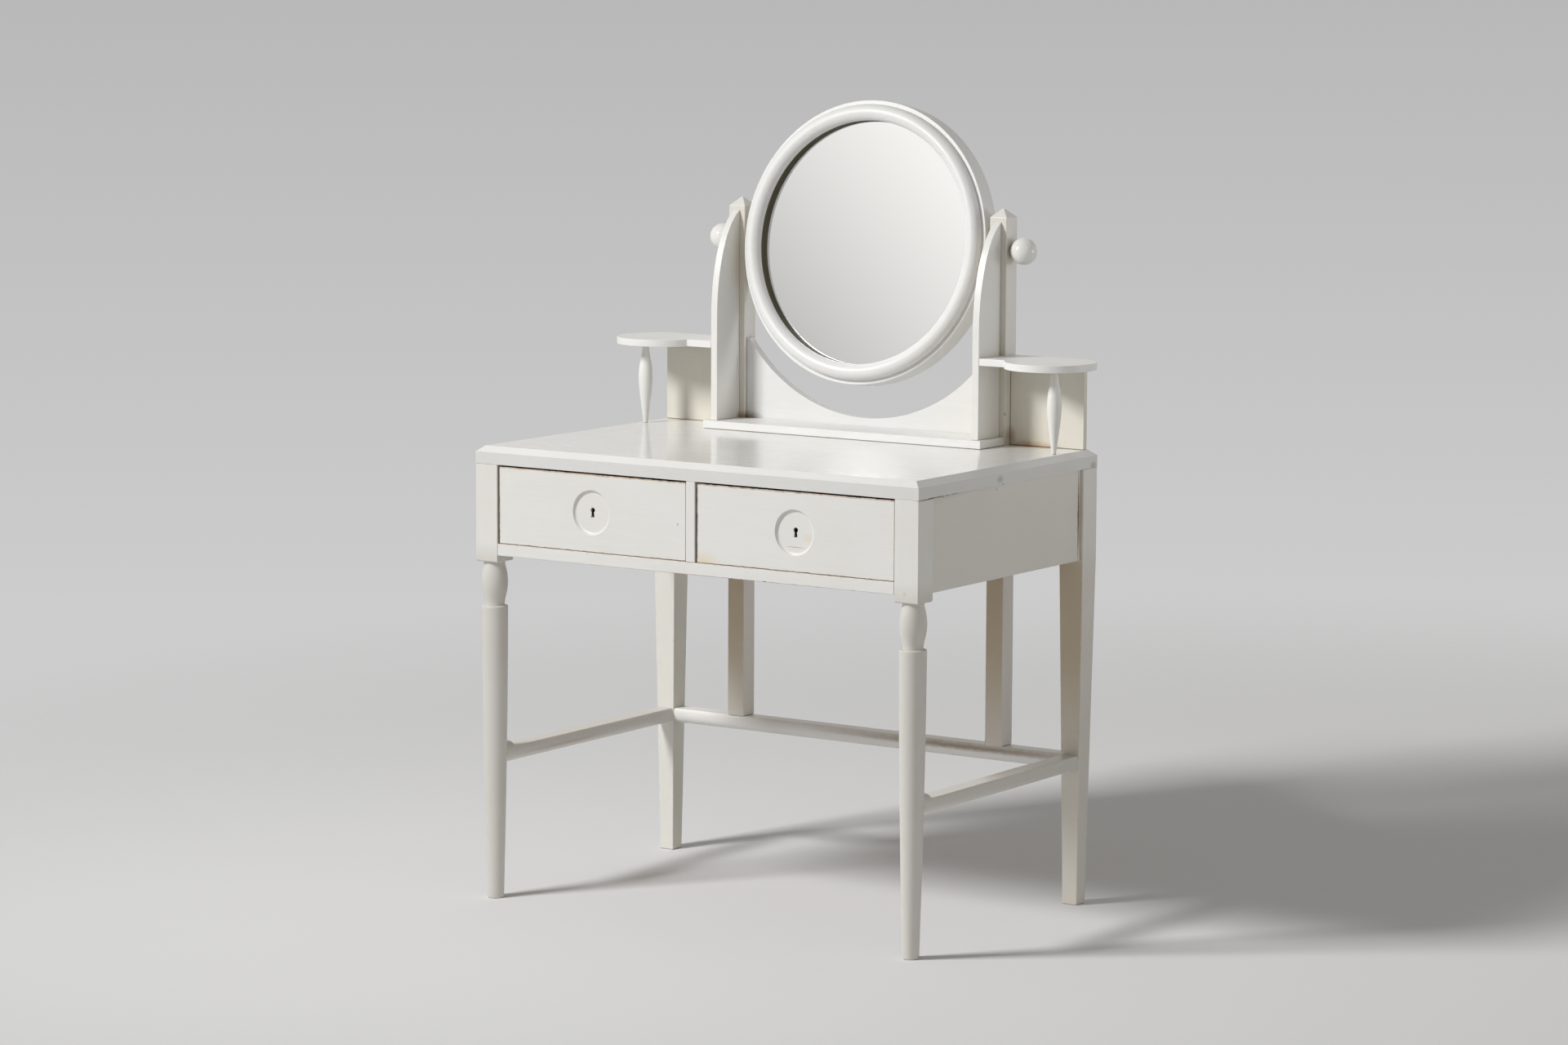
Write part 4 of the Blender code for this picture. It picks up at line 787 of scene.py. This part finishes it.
class Finishes:
    """All the finishes of the table, built once."""

    def __init__(self) -> None:
        """Build every material."""
        # Plain brushed paint: a soft, broken shine
        self.enamel = paint("brushed_upright", Grain.UPRIGHT)
        # Rubbed by use: a clearer, slightly blurred reflection broken by fine scratches
        # its front and end faces take a grey tan as painted shade
        self.top = paint("rubbed_table_top_edge_shade", colour="#EDEDEC", tan="#BDBBB6", tan_front=1.0,
                         tan_side=1.0, cream_most=0.2, roughness=0.13,
                         streak_length=25 * MM, streak_width=3 * MM,
                         streak_depth=0.04 * MM, marks=BOARD_MARKS)
        # Turned and handled: a wet-looking gloss with a small sharp highlight
        self.gloss = paint("gloss_turned_knob", Grain.UPRIGHT, roughness=0.10,
                           streak_depth=0.01 * MM)
        # Front rail: small chips along its lower edge
        self.rail = paint("chipped_rail", dirt_most=0.2, marks=RAIL_MARKS)
        # Legs and side bars: handled and kicked, and a grey tan below the case as painted
        # shade
        self.leg, self.side_bar = (
            paint("worn_and_shaded_" + grain.name.lower(), grain, colour="#EBEAE7", dirt_most=0.25,
                  tan="#B9B4AA", tan_low=0.5, marks=LEG_MARKS)
            for grain in (Grain.UPRIGHT, Grain.DEEP))
        # Rear bar: a brown band along its front, painted shade of the case above it
        self.rear_bar = paint("rubbed_bar", marks=REAR_BAR_SHADE_MARKS)
        # Drawers: ochre where the paint rubs off along the edges, a cream stain in a corner,
        # painted shade in the gaps and keyholes
        self.drawer = paint("rubbed_drawer", dirt_most=0.3, marks=DRAWER_MARKS)
        # Bead and hollowed panel: wiped often, so the paint stayed whiter and smooth
        self.wiped = paint("wiped", colour="#E0E0DF", cream_most=0.08, dirt_most=0.4,
                           roughness=0.42, streak_length=60 * MM, streak_width=8 * MM,
                           streak_depth=0.006 * MM, marks=GALLERY_MARKS)
        # Shelves and plinth: whiter still, with brush lines
        self.dusted = paint("dusted", colour="#E9E9E8", cream_most=0.15, dirt_most=0.5,
                            marks=GALLERY_MARKS)
        # Fins: the most cream in the corners, as warm painted shade
        self.fin = paint("yellowed_upright", Grain.UPRIGHT, cream_most=0.7,
                         marks=GALLERY_MARKS)
        # Backs of the shelves: always in shade, so a darker, warmer colour and the most cream
        # in the corners, both painted shade
        self.shaded = paint("shelf_back_cream_shade", Grain.UPRIGHT, colour="#D9D5CA",
                            cream_most=0.8, marks=GALLERY_MARKS)
        # Side panels: the brush followed the depth, dark lines open at the joints, a
        # near-black strip by the back leg as painted shade
        self.panel = paint("brushed_panel", Grain.DEEP, colour="#DEDBD5", marks=PANEL_MARKS)
        # Back leg and posts: tan painted shade on the faces that the case shades; on the left
        # leg less of it
        self.tanned = paint("unbleached", Grain.UPRIGHT, tan_front=1.0, tan_side=0.25,
                            marks=PANEL_MARKS + GALLERY_MARKS)
        self.half_tanned = paint("half_tan_painted_shade", Grain.UPRIGHT, tan="#BDB8A4",
                                 tan_low=0.2, tan_side=0.2)
        # Wall of the frame round the glass: a dark olive, painted shade of the wall and its
        # image in the glass, against the white bead
        self.lip = BrushedEnamel("lip_dark_olive_shade", colour="#4E4834", cream_most=0.0,
                                 dirt_most=0.3, roughness=0.80).material()
        # Bare wood: dull brown with darker lines, finer and paler in the plywood
        self.pine_across, self.pine_deep = (
            PlainWood("aged_pine_planed_" + grain.name.lower(), grain).material()
            for grain in (Grain.ACROSS, Grain.DEEP))
        self.plywood = PlainWood("birch_plywood_sanded", Grain.DEEP, "#A88458", "#86633C",
                                 260 * MM, 9 * MM, 0.66).material()
        # Silver behind glass: a clean, faintly grey reflection
        self.silver = Metal("glass_silvered_mirror", "#EFF0F2", 0.015, 0.005).material()
        # Old fittings: a dull, uneven shine
        self.brass = Metal("brass_turned_dull", "#9A7B42", 0.38).material()
        self.steel = Metal("steel_drawn_dull", "#6E6C68", 0.42).material()
        # Old lock case: black scale, made near-black as painted shade so that the keyhole
        # stays dark
        self.iron = Metal("iron_blackened_lock_keyhole_shade", "#100E0C", 0.80).material()


# Pieces

@dataclass
class Unit:
    """One sub-assembly: its finishes, and the sizes that it shares with others."""

    finishes: Finishes
    table_height: float = 0.760
    fin_front: float = 0.445
    post_front: float = 0.513
    post_outer: float = 0.277
    axis_y: float = 0.530               # axis that the mirror tilts about
    axis_z: float = 1.082
    gap: float = 0.3 * MM               # between pieces that lie on each other
    easing: float = 0.9 * MM            # rounding of a sanded edge


@dataclass
class CaseUnit(Unit):
    """Board, rail, divider, panels, back legs and everything fixed behind them."""

    def build(self) -> None:
        """Dress the CAD nodes of the case."""
        finishes = self.finishes
        dress(finishes.top, "table_top")
        dress(finishes.rail, "front_rail")
        dress(finishes.enamel, "drawer_divider")
        dress(finishes.pine_across, "back_panel")
        dress(finishes.pine_deep, "runner_left", "runner_right", "runner_centre",
              "drawer_stop_left", "drawer_stop_right")
        dress(finishes.tanned, "back_leg_right", "mirror_post_left", "mirror_post_right")
        dress(finishes.half_tanned, "back_leg_left")
        dress(finishes.panel, "side_panel_left", "side_panel_right")
        dress(finishes.steel, "post_screw_left", "post_screw_right")


@dataclass
class FrontLegs(Unit):
    """Square block over a turned vase and a slim bowed shaft."""

    centre_x: float = 0.4095
    centre_y: float = 0.022
    block: float = 0.044
    block_top: float = 0.7307
    block_bottom: float = 0.5675
    corner: float = 3 * MM
    neck: float = 0.0165
    vase_length: float = 0.074
    vase_radius: float = 0.022
    collar: float = 0.0065
    bevel: float = 0.0015
    shaft_radius: float = 0.022
    foot_radius: float = 0.0135
    bow_share: float = 0.7
    peg: float = 4 * MM                 # how far the turning runs into the block
    easing: float = 0.8 * MM
    sides: int = 96
    vase_shares: tuple[Point, ...] = (
        (0.0, 0.79), (0.07, 0.80), (0.21, 0.905), (0.32, 0.966), (0.45, 1.0),
        (0.55, 0.991), (0.66, 0.943), (0.76, 0.870), (0.87, 0.785), (0.94, 0.75),
    )

    def profile(self) -> list[Point]:
        """Radius and height of the turning, top to bottom."""
        vase = flowing([(share * self.vase_radius, self.block_bottom - down * self.vase_length)
                        for down, share in self.vase_shares], 4)
        vase = [(min(radius, self.vase_radius), height) for radius, height in vase]
        collar_top = self.block_bottom - self.vase_length
        slim = self.shaft_radius - self.foot_radius
        shaft = [(self.foot_radius + slim * (share + self.bow_share * share * (1 - share)),
                  (collar_top - self.collar) * share)
                 for share in (1 - i / 24 for i in range(24))]
        return [(self.neck, self.block_bottom + self.peg), *vase, (self.neck, collar_top),
                (self.shaft_radius - 2 * self.bevel, collar_top),
                (self.shaft_radius - self.bevel / 2, collar_top - self.bevel / 3),
                (self.shaft_radius, collar_top - self.bevel), *shaft,
                (self.foot_radius, self.easing), (self.foot_radius - self.easing, 0.0)]

    def build(self) -> None:
        """Turn the right leg, copy it to the left and dress both."""
        y = FRONT_Y + self.centre_y
        half = self.block / 2
        leg = sawn("leg_front_right", (self.centre_x - half, y - half, self.block_bottom),
                   (self.centre_x + half, y + half, self.block_top))
        hold(leg)
        bpy.ops.object.mode_set(mode="EDIT")
        bpy.ops.mesh.select_all(action="DESELECT")
        bpy.ops.object.mode_set(mode="OBJECT")
        for edge in leg.data.edges:
            edge.select = all(leg.data.vertices[v].co.z < self.block_bottom + WELD
                              for v in edge.vertices)
        bpy.ops.object.mode_set(mode="EDIT")
        bpy.ops.mesh.select_mode(type="EDGE")
        bpy.ops.mesh.bevel(offset=self.corner, segments=5, profile=0.5)
        bpy.ops.mesh.select_mode(type="VERT")
        bpy.ops.object.mode_set(mode="OBJECT")
        rounded(leg, self.easing, 50.0)
        turning = stand(turned("turning", self.profile(), self.sides), Turn.UP,
                        (self.centre_x, y, 0.0))
        combine(leg, turning, "UNION")
        for side, piece in both_sides(leg, 0.0, 35.0).items():
            fit(piece, self.finishes.leg, "front_leg_" + side)


@dataclass
class Stretchers(Unit):
    """Round bars between the legs, planed flat on top."""

    radius: float = 0.017
    height: float = 0.243
    flat_rise: float = 0.0098
    round_end: float = 0.036
    leg_x: float = 0.4095
    back_leg_x: float = 0.4093
    front_y: float = 0.022
    back_y: float = 0.5308
    into_leg: float = 0.010
    easing: float = 0.6 * MM
    sides: int = 96

    def bar(self, name: str, start: float, end: float, flat_from: float) -> Piece:
        """Turn a bar along its own Z and plane it flat on its own -Y side.

        Args:
            name: name of the piece.
            start: where the bar starts.
            end: where it ends.
            flat_from: where the planed flat starts.

        Returns:
            The bar.
        """
        bar = turned(name, [(self.radius, start), (self.radius, end)], self.sides)
        past = 2 * self.radius
        plane = sawn("plane", (-past, -past, flat_from), (past, -self.flat_rise, end + past))
        combine(bar, plane, "DIFFERENCE")
        return rounded(bar, self.easing, 20.0)

    def build(self) -> None:
        """Build the three bars and dress them."""
        bar = self.bar("stretcher_side_right", self.front_y + self.into_leg,
                       self.back_y - self.into_leg, self.front_y + self.round_end)
        stand(bar, Turn.BACK, (self.leg_x, FRONT_Y, self.height))
        for side, piece in both_sides(bar, 0.0, 20.0).items():
            fit(piece, self.finishes.side_bar, "side_stretcher_" + side)
        reach = self.back_leg_x - self.into_leg
        rear = self.bar("stretcher_rear", -reach, reach, -2 * reach)
        stand(rear, Turn.RIGHT_ON_EDGE, (0.0, FRONT_Y + self.back_y, self.height))
        fit(rear, self.finishes.rear_bar, "rear_stretcher")


@dataclass
class MirrorUnit(Unit):
    """Round mirror: frame with a fat bead, glass, backboard, pivots and ball knobs."""

    tilt: float = math.radians(8.0)
    radius: float = 0.2394
    front: float = 0.0236
    back: float = 0.0127
    bead_radius: float = 0.0137
    bead_centre: float = 0.2188
    bead_rise: float = 0.0263
    rebate: float = 0.2125
    glass_front: float = 0.0145
    edge: float = 1.0 * MM
    sides: int = 448
    knob_radius: float = 0.0225
    knob_seat: float = 0.007
    knob_collar: float = 0.0018
    paint_over: float = 2.5 * MM        # how far the bead's white paint runs down the wall, above the dark painted shade

    def frame_profile(self) -> list[Point]:
        """Section of the frame: rim, back, rebate and bead, as radius and height."""
        foot = -math.degrees(math.asin((self.bead_rise - self.front) / self.bead_radius))
        bead = arc((self.bead_centre, self.bead_rise), self.bead_radius, 180, foot, 40)
        lip = self.bead_centre - self.bead_radius
        seat = self.glass_front + self.gap
        rim = arc((self.radius - self.edge, self.front - self.edge), self.edge, 90, 0, 6)
        heel = arc((self.radius - self.edge, self.edge - self.back), self.edge, 0, -90, 6)
        return rim + heel + [(self.rebate, -self.back), (self.rebate, seat),
                             (lip, seat), (lip, self.bead_rise - self.paint_over)] + bead

    def build(self) -> None:
        """Build the frame and dress the pieces that tilt with it."""
        ring = turned("mirror_ring", self.frame_profile(), self.sides, closed=True)
        lip = self.bead_centre - self.bead_radius + WELD
        white_from = self.bead_rise - self.paint_over
        # faces of the wall below the white paint take the dark olive painted shade
        shaded_walls = [Vector(face.center[:2]).length < lip and face.center.z < white_from
                 for face in ring.data.polygons]
        stand(ring, Turn.FRONT, (0.0, FRONT_Y + self.axis_y, self.axis_z), -self.tilt)
        rounded(ring, 0.0, angle=35.0)
        fit(ring, self.finishes.wiped, "mirror_frame", body="mirror")
        ring.data.materials.append(self.finishes.lip)
        ring.data.polygons.foreach_set("material_index", [int(wall) for wall in shaded_walls])
        dress(self.finishes.silver, "mirror_glass")
        dress(self.finishes.plywood, "mirror_backboard")
        dress(self.finishes.brass, "mirror_insert_left", "mirror_insert_right",
              "pivot_spacer_left", "pivot_spacer_right")
        dress(self.finishes.steel, "backboard_brad_1", "backboard_brad_2",
              "backboard_brad_3", "knob_bolt_left", "knob_bolt_right")
        self.knobs()

    def knobs(self) -> None:
        """Turn a ball knob with its flat seat, copy it to the left and dress both."""
        seat = -math.degrees(math.acos(self.knob_seat / self.knob_radius))
        ball = arc((0.0, 0.0), self.knob_radius, 89.0, seat, 40)
        base = ball[-1][1] - self.knob_collar
        knob = turned("ball_knob_right", ball + [(self.knob_seat, base)], 96)
        stand(knob, Turn.RIGHT, (self.post_outer + self.gap - base, FRONT_Y + self.axis_y,
                                 self.axis_z))
        for side, piece in both_sides(knob, 0.0, 50.0).items():
            fit(piece, self.finishes.gloss, "knob_" + side, body="knob_" + side,
                slot="gloss_paint")


@dataclass
class Gallery(Unit):
    """Posts' fins, the plinth under them and the hollowed panel between the posts."""

    plinth_height: float = 0.0137
    fin_x: float = 0.26075
    fin_thickness: float = 0.012
    fin_spring: float = 0.950
    curve_depth: float = 0.090
    curve_height: float = 0.185
    post_inner: float = 0.2445
    crescent_radius: float = 0.295
    crescent_front: float = 0.5205
    crescent_thickness: float = 0.016
    tip_width: float = 0.007
    tip_rise: float = 0.0045
    tip_round: float = 0.0023

    def fin_outline(self) -> list[Point]:
        """Outline of a fin, from front to back and in height."""
        base = self.table_height + self.plinth_height + self.gap
        back = self.post_front - self.gap
        depth = self.post_front - self.fin_front
        rise = math.sqrt(1 - (1 - depth / self.curve_depth) ** 2)
        points = [(back, base), (self.fin_front, base)]
        for i in range(41):
            share = rise * math.sin(QUARTER * i / 40)
            run = self.curve_depth * (1 - math.sqrt(1 - share**2))
            points.append((min(self.fin_front + run, back),
                           self.fin_spring + share * self.curve_height))
        return points

    def crescent_outline(self) -> list[Point]:
        """Outline of the hollowed panel, across and in height."""
        reach = self.post_inner - self.gap
        tip = reach - self.tip_width
        end = math.degrees(math.acos(tip / self.crescent_radius))
        hollow = arc((0.0, self.axis_z), self.crescent_radius, end - 180, -end, 96)
        base = self.table_height + self.gap
        top = hollow[0][1] + self.tip_rise
        left = [(-reach, base), (-reach, top)] + arc(
            (-tip - self.tip_round, top - self.tip_round), self.tip_round, 90, 0, 4)
        return left + hollow + [(-x, z) for x, z in reversed(left)]

    def build(self) -> None:
        """Build the fins and the hollowed panel, and dress the plinth."""
        fin = plate("fin_plate_right", self.fin_outline(), self.fin_thickness)
        stand(fin, Turn.SIDE, (self.fin_x, FRONT_Y, 0.0))
        for side, piece in both_sides(fin, self.easing, 30.0).items():
            fit(piece, self.finishes.fin, "fin_" + side)
        panel = plate("panel_crescent", self.crescent_outline(), self.crescent_thickness)
        stand(panel, Turn.FRONT, (0.0, FRONT_Y + self.crescent_front
                                  + self.crescent_thickness / 2, 0.0))
        rounded(panel, self.easing)
        fit(panel, self.finishes.wiped, "crescent_panel")
        dress(self.finishes.dusted, "plinth")


@dataclass
class SideShelves(Unit):
    """Small shelves with a round end, each on a turned spindle and a back panel."""

    underside: float = 0.8972
    thickness: float = 0.012
    radius: float = 0.0759
    centre_x: float = 0.3889
    centre_y: float = 0.470
    back_y: float = 0.540
    fin_face: float = 0.26705
    spindle_x: float = 0.4081
    spindle_y: float = 0.4513
    spindle_radius: float = 0.012
    spindle_shares: tuple[Point, ...] = (
        (0.0, 0.43), (0.06, 0.49), (0.12, 0.58), (0.21, 0.75), (0.29, 0.90), (0.36, 0.975),
        (0.445, 1.0), (0.576, 0.92), (0.675, 0.78), (0.79, 0.61), (0.90, 0.45), (1.0, 0.30),
    )

    def outline(self) -> list[Point]:
        """Outline of the right shelf seen from above."""
        start = 180 + math.degrees(math.asin((self.centre_y - self.fin_front) / self.radius))
        end = 360 + math.degrees(math.asin((self.back_y - self.centre_y) / self.radius))
        inner = self.post_outer + self.gap
        seat = self.post_front - self.gap
        return ([(inner, self.back_y), (inner, seat), (self.fin_face, seat),
                 (self.fin_face, self.fin_front)]
                + arc((self.centre_x, self.centre_y), self.radius, start, end, 96))

    def build(self) -> None:
        """Build shelf and spindle on the right, copy them to the left and dress all."""
        shelf = plate("shelf_plate_right", self.outline(), self.thickness)
        stand(shelf, Turn.UP, (0.0, FRONT_Y, self.underside + self.thickness / 2))
        top = self.underside - self.gap
        base = self.table_height + self.gap
        profile = flowing([(share * self.spindle_radius, top - down * (top - base))
                           for down, share in self.spindle_shares], 5)
        spindle = turned("spindle_turned_right", profile, 64)
        stand(spindle, Turn.UP, (self.spindle_x, FRONT_Y + self.spindle_y, 0.0))
        for piece, width, node, finish in (
                (shelf, self.easing, "shelf_", self.finishes.dusted),
                (spindle, 0.0, "spindle_", self.finishes.enamel)):
            for side, one in both_sides(piece, width).items():
                fit(one, finish, node + side)
        dress(self.finishes.shaded, "shelf_back_left", "shelf_back_right")


@dataclass
class Drawers(Unit):
    """Drawer fronts with a round recess and a keyhole, and the boxes and locks behind."""

    centre_x: float = 0.198125
    half_width: float = 0.186875
    front: float = 0.0028
    back: float = 0.0228
    base: float = 0.6006
    top: float = 0.728
    lap_front: float = 0.0128
    lap: float = 0.0123
    recess_radius: float = 0.0365
    recess_depth: float = 0.0045
    key_left_z: float = 0.6651
    key_right_z: float = 0.6629
    key_radius: float = 0.00425
    key_height: float = 0.016
    key_waist: float = 0.0045
    key_foot: float = 0.007
    shoulder: float = 0.7 * MM
    over: float = 4 * MM                # how far the recess cutter stands out in front
    key_cutter: float = 60 * MM
    easing: float = 0.8 * MM

    def recess_profile(self) -> list[Point]:
        """Section of the cutter for the recess: flat floor, hollow wall, soft rim."""
        cove = arc((self.recess_radius - self.recess_depth, 0.0), self.recess_depth,
                   -90, -12, 10)
        rim = arc((self.recess_radius + self.shoulder, -self.shoulder), self.shoulder,
                  165, 90, 4)
        return cove + rim + [(rim[-1][0], self.over)]

    def keyhole_outline(self) -> list[Point]:
        """Round hole over a slot that widens towards its foot."""
        centre = self.key_height / 2 - self.key_radius
        meet = math.degrees(math.asin(self.key_waist / 2 / self.key_radius))
        foot = self.key_foot / 2
        return arc((0.0, centre), self.key_radius, meet - 90, 270 - meet, 32) + [
            (-foot, -self.key_height / 2), (foot, -self.key_height / 2)]

    def front_board(self, x: float, key_z: float, word: str) -> Piece:
        """Build one drawer front.

        Args:
            x: middle of the front.
            key_z: height of the recess and the keyhole.
            word: left or right.

        Returns:
            The board, lapped for the drawer's sides and cut for the recess and the key.
        """
        y = FRONT_Y
        board = sawn("drawer_board_" + word, (x - self.half_width, y + self.front, self.base),
                     (x + self.half_width, y + self.back, self.top))
        for side in (-1, 1):
            edge = x + side * self.half_width
            combine(board, sawn("rebate", (edge - side * self.lap, y + self.lap_front,
                                           self.base - self.lap),
                                (edge + side * self.lap, y + self.back + self.lap,
                                 self.top + self.lap)), "DIFFERENCE")
        rounded(board, self.easing)
        recess = turned("recess", self.recess_profile(), 160)
        place = (x, y + self.front, key_z)
        combine(board, stand(recess, Turn.FRONT, place), "DIFFERENCE")
        keyhole = plate("keyhole", self.keyhole_outline(), self.key_cutter)
        combine(board, stand(keyhole, Turn.FRONT, place), "DIFFERENCE")
        return board

    def build(self) -> None:
        """Build both fronts and dress the boxes and locks."""
        finishes = self.finishes
        for side, x, key_z in (("left", -self.centre_x, self.key_left_z),
                               ("right", self.centre_x, self.key_right_z)):
            piece = rounded(self.front_board(x, key_z, side), 0.0, 30.0)
            drawer = "drawer_" + side
            fit(piece, finishes.drawer, "drawer_front_" + side, body=drawer)
            dress(finishes.pine_deep, drawer + "_side_left", drawer + "_side_right")
            dress(finishes.pine_across, drawer + "_back")
            dress(finishes.plywood, drawer + "_bottom")
            dress(finishes.iron, "lock_case_" + side)
            dress(finishes.brass, "lock_bolt_" + side)


@dataclass(frozen=True)
class Lamp:
    """Square lamp whose light is as strong far away as it is near."""

    name: str
    place: Triple
    aim: Triple
    size: float
    power: float
    spread: float = 180.0               # degrees; a grid in front of the lamp narrows it

    def hang(self) -> None:
        """Hang the lamp and point it."""
        data = bpy.data.lights.new(self.name, "AREA")
        data.shape = "SQUARE"
        data.size = self.size
        data.energy = self.power
        data.spread = math.radians(self.spread)
        data.use_nodes = True
        tree = data.node_tree
        tree.nodes.clear()
        even = add(tree, "LightFalloff", {"Strength": 1.0}, "Constant")
        add(tree, "OutputLight", [add(tree, "Emission", [WHITE, even])])
        lamp = bpy.data.objects.new(self.name, data)
        bpy.context.scene.collection.objects.link(lamp)
        way = Vector(self.aim) - Vector(self.place)
        lamp.rotation_euler = way.to_track_quat("-Z", "Y").to_euler()
        lamp.location = self.place


@dataclass
class Studio:
    """Camera, lamps, soft surroundings and the pale floor."""

    camera_place: Triple = (4.308, -6.4784, 1.6484)
    yaw: float = math.radians(33.692)
    pitch: float = math.radians(7.429)
    roll: float = math.radians(0.249)
    focal_length: float = 108.95
    key: Lamp = Lamp("key", (-1.2, -1.9, 2.3), (0.5, 1.1, 0.3), 0.60, 8.0)
    side: Lamp = Lamp("side", (2.3, 1.1, 1.15), (0.0, 0.25, 1.15), 0.80, 0.090, 36.0)
    horizon: float = 0.60
    zenith: float = 0.25
    dim_way: Triple = (0.55, -0.83, 0.0)    # towards the camera
    dim_share: float = 0.70             # the room is darker on that side
    air_colour: str = "#FFFDF8"
    pane_way: Triple = (0.7555, 0.0, 0.655)
    pane_dark: Point = (-0.3396, 0.45)  # along that way: how far, and how bright there
    pane_bright: Point = (-0.2793, 1.05)
    pane_middle: Triple = (-0.538, -0.826, 0.163)
    pane_none: float = 0.64
    pane_cone: Point = (0.95, 0.985)            # cosines where the wall ends, and is full
    glare_way: Triple = (-0.5402, 0.8415, 0.0)      # behind the table
    glare_across: Triple = (0.8415, 0.5402, 0.0)
    glare_reach: Point = (0.015, 0.002)         # half its width where it ends, and is full
    glare: float = 0.50
    seen_slopes: Point = (-0.20, -0.02)         # what the camera sees behind, by slope
    seen: Point = (0.66, 0.482)
    shadow_middle: Triple = (0.8, 0.3, 0.0)
    fade: Point = (1.5, 4.0)                    # the floor fades away between these
    floor_radius: float = 7.0
    floor_colour: str = "#DDDDDE"

    def camera(self) -> None:
        """Stand the camera where the photograph was taken."""
        data = bpy.data.cameras.new("camera")
        data.sensor_width = 36.0
        data.sensor_fit = "HORIZONTAL"
        data.lens = self.focal_length
        data.clip_end = 200.0
        camera = bpy.data.objects.new("camera", data)
        bpy.context.scene.collection.objects.link(camera)
        forward = Vector((-math.sin(self.yaw) * math.cos(self.pitch),
                          math.cos(self.yaw) * math.cos(self.pitch), -math.sin(self.pitch)))
        level = Vector((math.cos(self.yaw), math.sin(self.yaw), 0.0))
        up = level.cross(forward)
        right = level * math.cos(self.roll) + up * math.sin(self.roll)
        up = up * math.cos(self.roll) - level * math.sin(self.roll)
        camera.matrix_world = Matrix.Translation(self.camera_place) @ Matrix(
            (right, up, -forward)).transposed().to_4x4()
        bpy.context.scene.camera = camera

    def pane(self, tree: Tree, way: Socket) -> Socket:
        """Paint what shiny paint and glass show: a bright wall and a strip of light behind.

        The wall that the mirror shows is brighter to the right and upwards. The strip stands
        behind the table and lies as a glare on its top.

        Args:
            tree: the world's nodes.
            way: direction of the ray.

        Returns:
            The brightness in that direction.
        """
        along = add(tree, "VectorMath", [way, self.pane_way], operation="DOT_PRODUCT")
        bright = add(tree, "MapRange", [along, self.pane_dark[0], self.pane_bright[0],
                                        self.pane_dark[1], self.pane_bright[1]])
        near = add(tree, "VectorMath", [way, self.pane_middle], operation="DOT_PRODUCT")
        near = add(tree, "MapRange", [near, *self.pane_cone])
        wall = add(tree, "Mix", {0: near, 2: self.pane_none, 3: bright}, data_type="FLOAT")
        aside = add(tree, "VectorMath", [way, self.glare_across], operation="DOT_PRODUCT")
        aside = add(tree, "Math", [aside], operation="ABSOLUTE")
        strip = add(tree, "MapRange", [aside, *self.glare_reach, 0.0, self.glare],
                    interpolation_type="SMOOTHSTEP")
        behind = add(tree, "VectorMath", [way, self.glare_way], operation="DOT_PRODUCT")
        behind = add(tree, "Math", [behind, 0.9], operation="GREATER_THAN")
        strip = add(tree, "Math", [strip, behind], operation="MULTIPLY")
        return add(tree, "Math", [wall, strip], operation="ADD")

    def surroundings(self) -> None:
        """Set the soft light from all round and the plain backdrop."""
        world = bpy.data.worlds.new("studio")
        bpy.context.scene.world = world
        world.use_nodes = True
        tree = world.node_tree
        tree.nodes.clear()
        way = add(tree, "TexCoord", out="Generated")
        height = add(tree, "SeparateXYZ", [way], "Z")
        soft = add(tree, "MapRange", {"Value": height, "To Min": self.horizon,
                                      "To Max": self.zenith})
        room = add(tree, "VectorMath", [way, self.dim_way], operation="DOT_PRODUCT")
        room = add(tree, "MapRange", {"Value": room, "To Min": 1.0,
                                      "To Max": self.dim_share})
        soft = add(tree, "Math", [soft, room], operation="MULTIPLY")
        seen = add(tree, "MapRange", [height, *self.seen_slopes, *self.seen])
        ray = add(tree, "LightPath").node.outputs
        first = add(tree, "Mix", {0: ray["Is Glossy Ray"], 2: soft,
                                  3: self.pane(tree, way)}, data_type="FLOAT")
        strength = add(tree, "Mix", {0: ray["Is Camera Ray"], 2: first, 3: seen},
                       data_type="FLOAT")
        colour = add(tree, "Mix", {0: ray["Is Camera Ray"], 6: self.air_colour, 7: WHITE},
                     data_type="RGBA")
        add(tree, "OutputWorld", [add(tree, "Background", [colour, strength])])

    def floor(self) -> None:
        """Lay a pale floor that fades into the backdrop away from the table."""
        let_go()
        bpy.ops.mesh.primitive_circle_add(vertices=96, radius=self.floor_radius,
                                          fill_type="NGON", location=(0.0, 0.0, -0.3 * MM))
        floor = take_new("floor")
        bpy.ops.mesh.inset(thickness=self.floor_radius / 2)
        close_up(floor)
        material, tree = empty_material("paper_matt_grey")
        place = add(tree, "TexCoord", out="Object")
        away = add(tree, "VectorMath", [place, self.shadow_middle], operation="DISTANCE")
        fade = add(tree, "MapRange", [away, *self.fade], interpolation_type="SMOOTHSTEP")
        camera_ray = add(tree, "LightPath", out="Is Camera Ray")
        share = add(tree, "Math", [fade, camera_ray], operation="MULTIPLY")
        paper = add(tree, "BsdfDiffuse", [self.floor_colour])
        both = add(tree, "MixShader", [share, paper, add(tree, "BsdfTransparent")])
        add(tree, "OutputMaterial", [both])
        floor.data.materials.append(material)

    def build(self) -> None:
        """Set up the whole studio."""
        bpy.context.scene.view_settings.view_transform = "Standard"
        self.camera()
        self.key.hang()
        self.side.hang()
        self.surroundings()
        self.floor()


def main() -> None:
    """Build the studio and every sub-assembly in order."""
    logging.basicConfig(level=logging.INFO, format="%(name)s: %(message)s")
    Studio().build()
    finishes = Finishes()
    for unit in (CaseUnit, FrontLegs, Stretchers, Gallery, SideShelves, Drawers, MirrorUnit):
        unit(finishes).build()


if __name__ == "__main__":
    main()
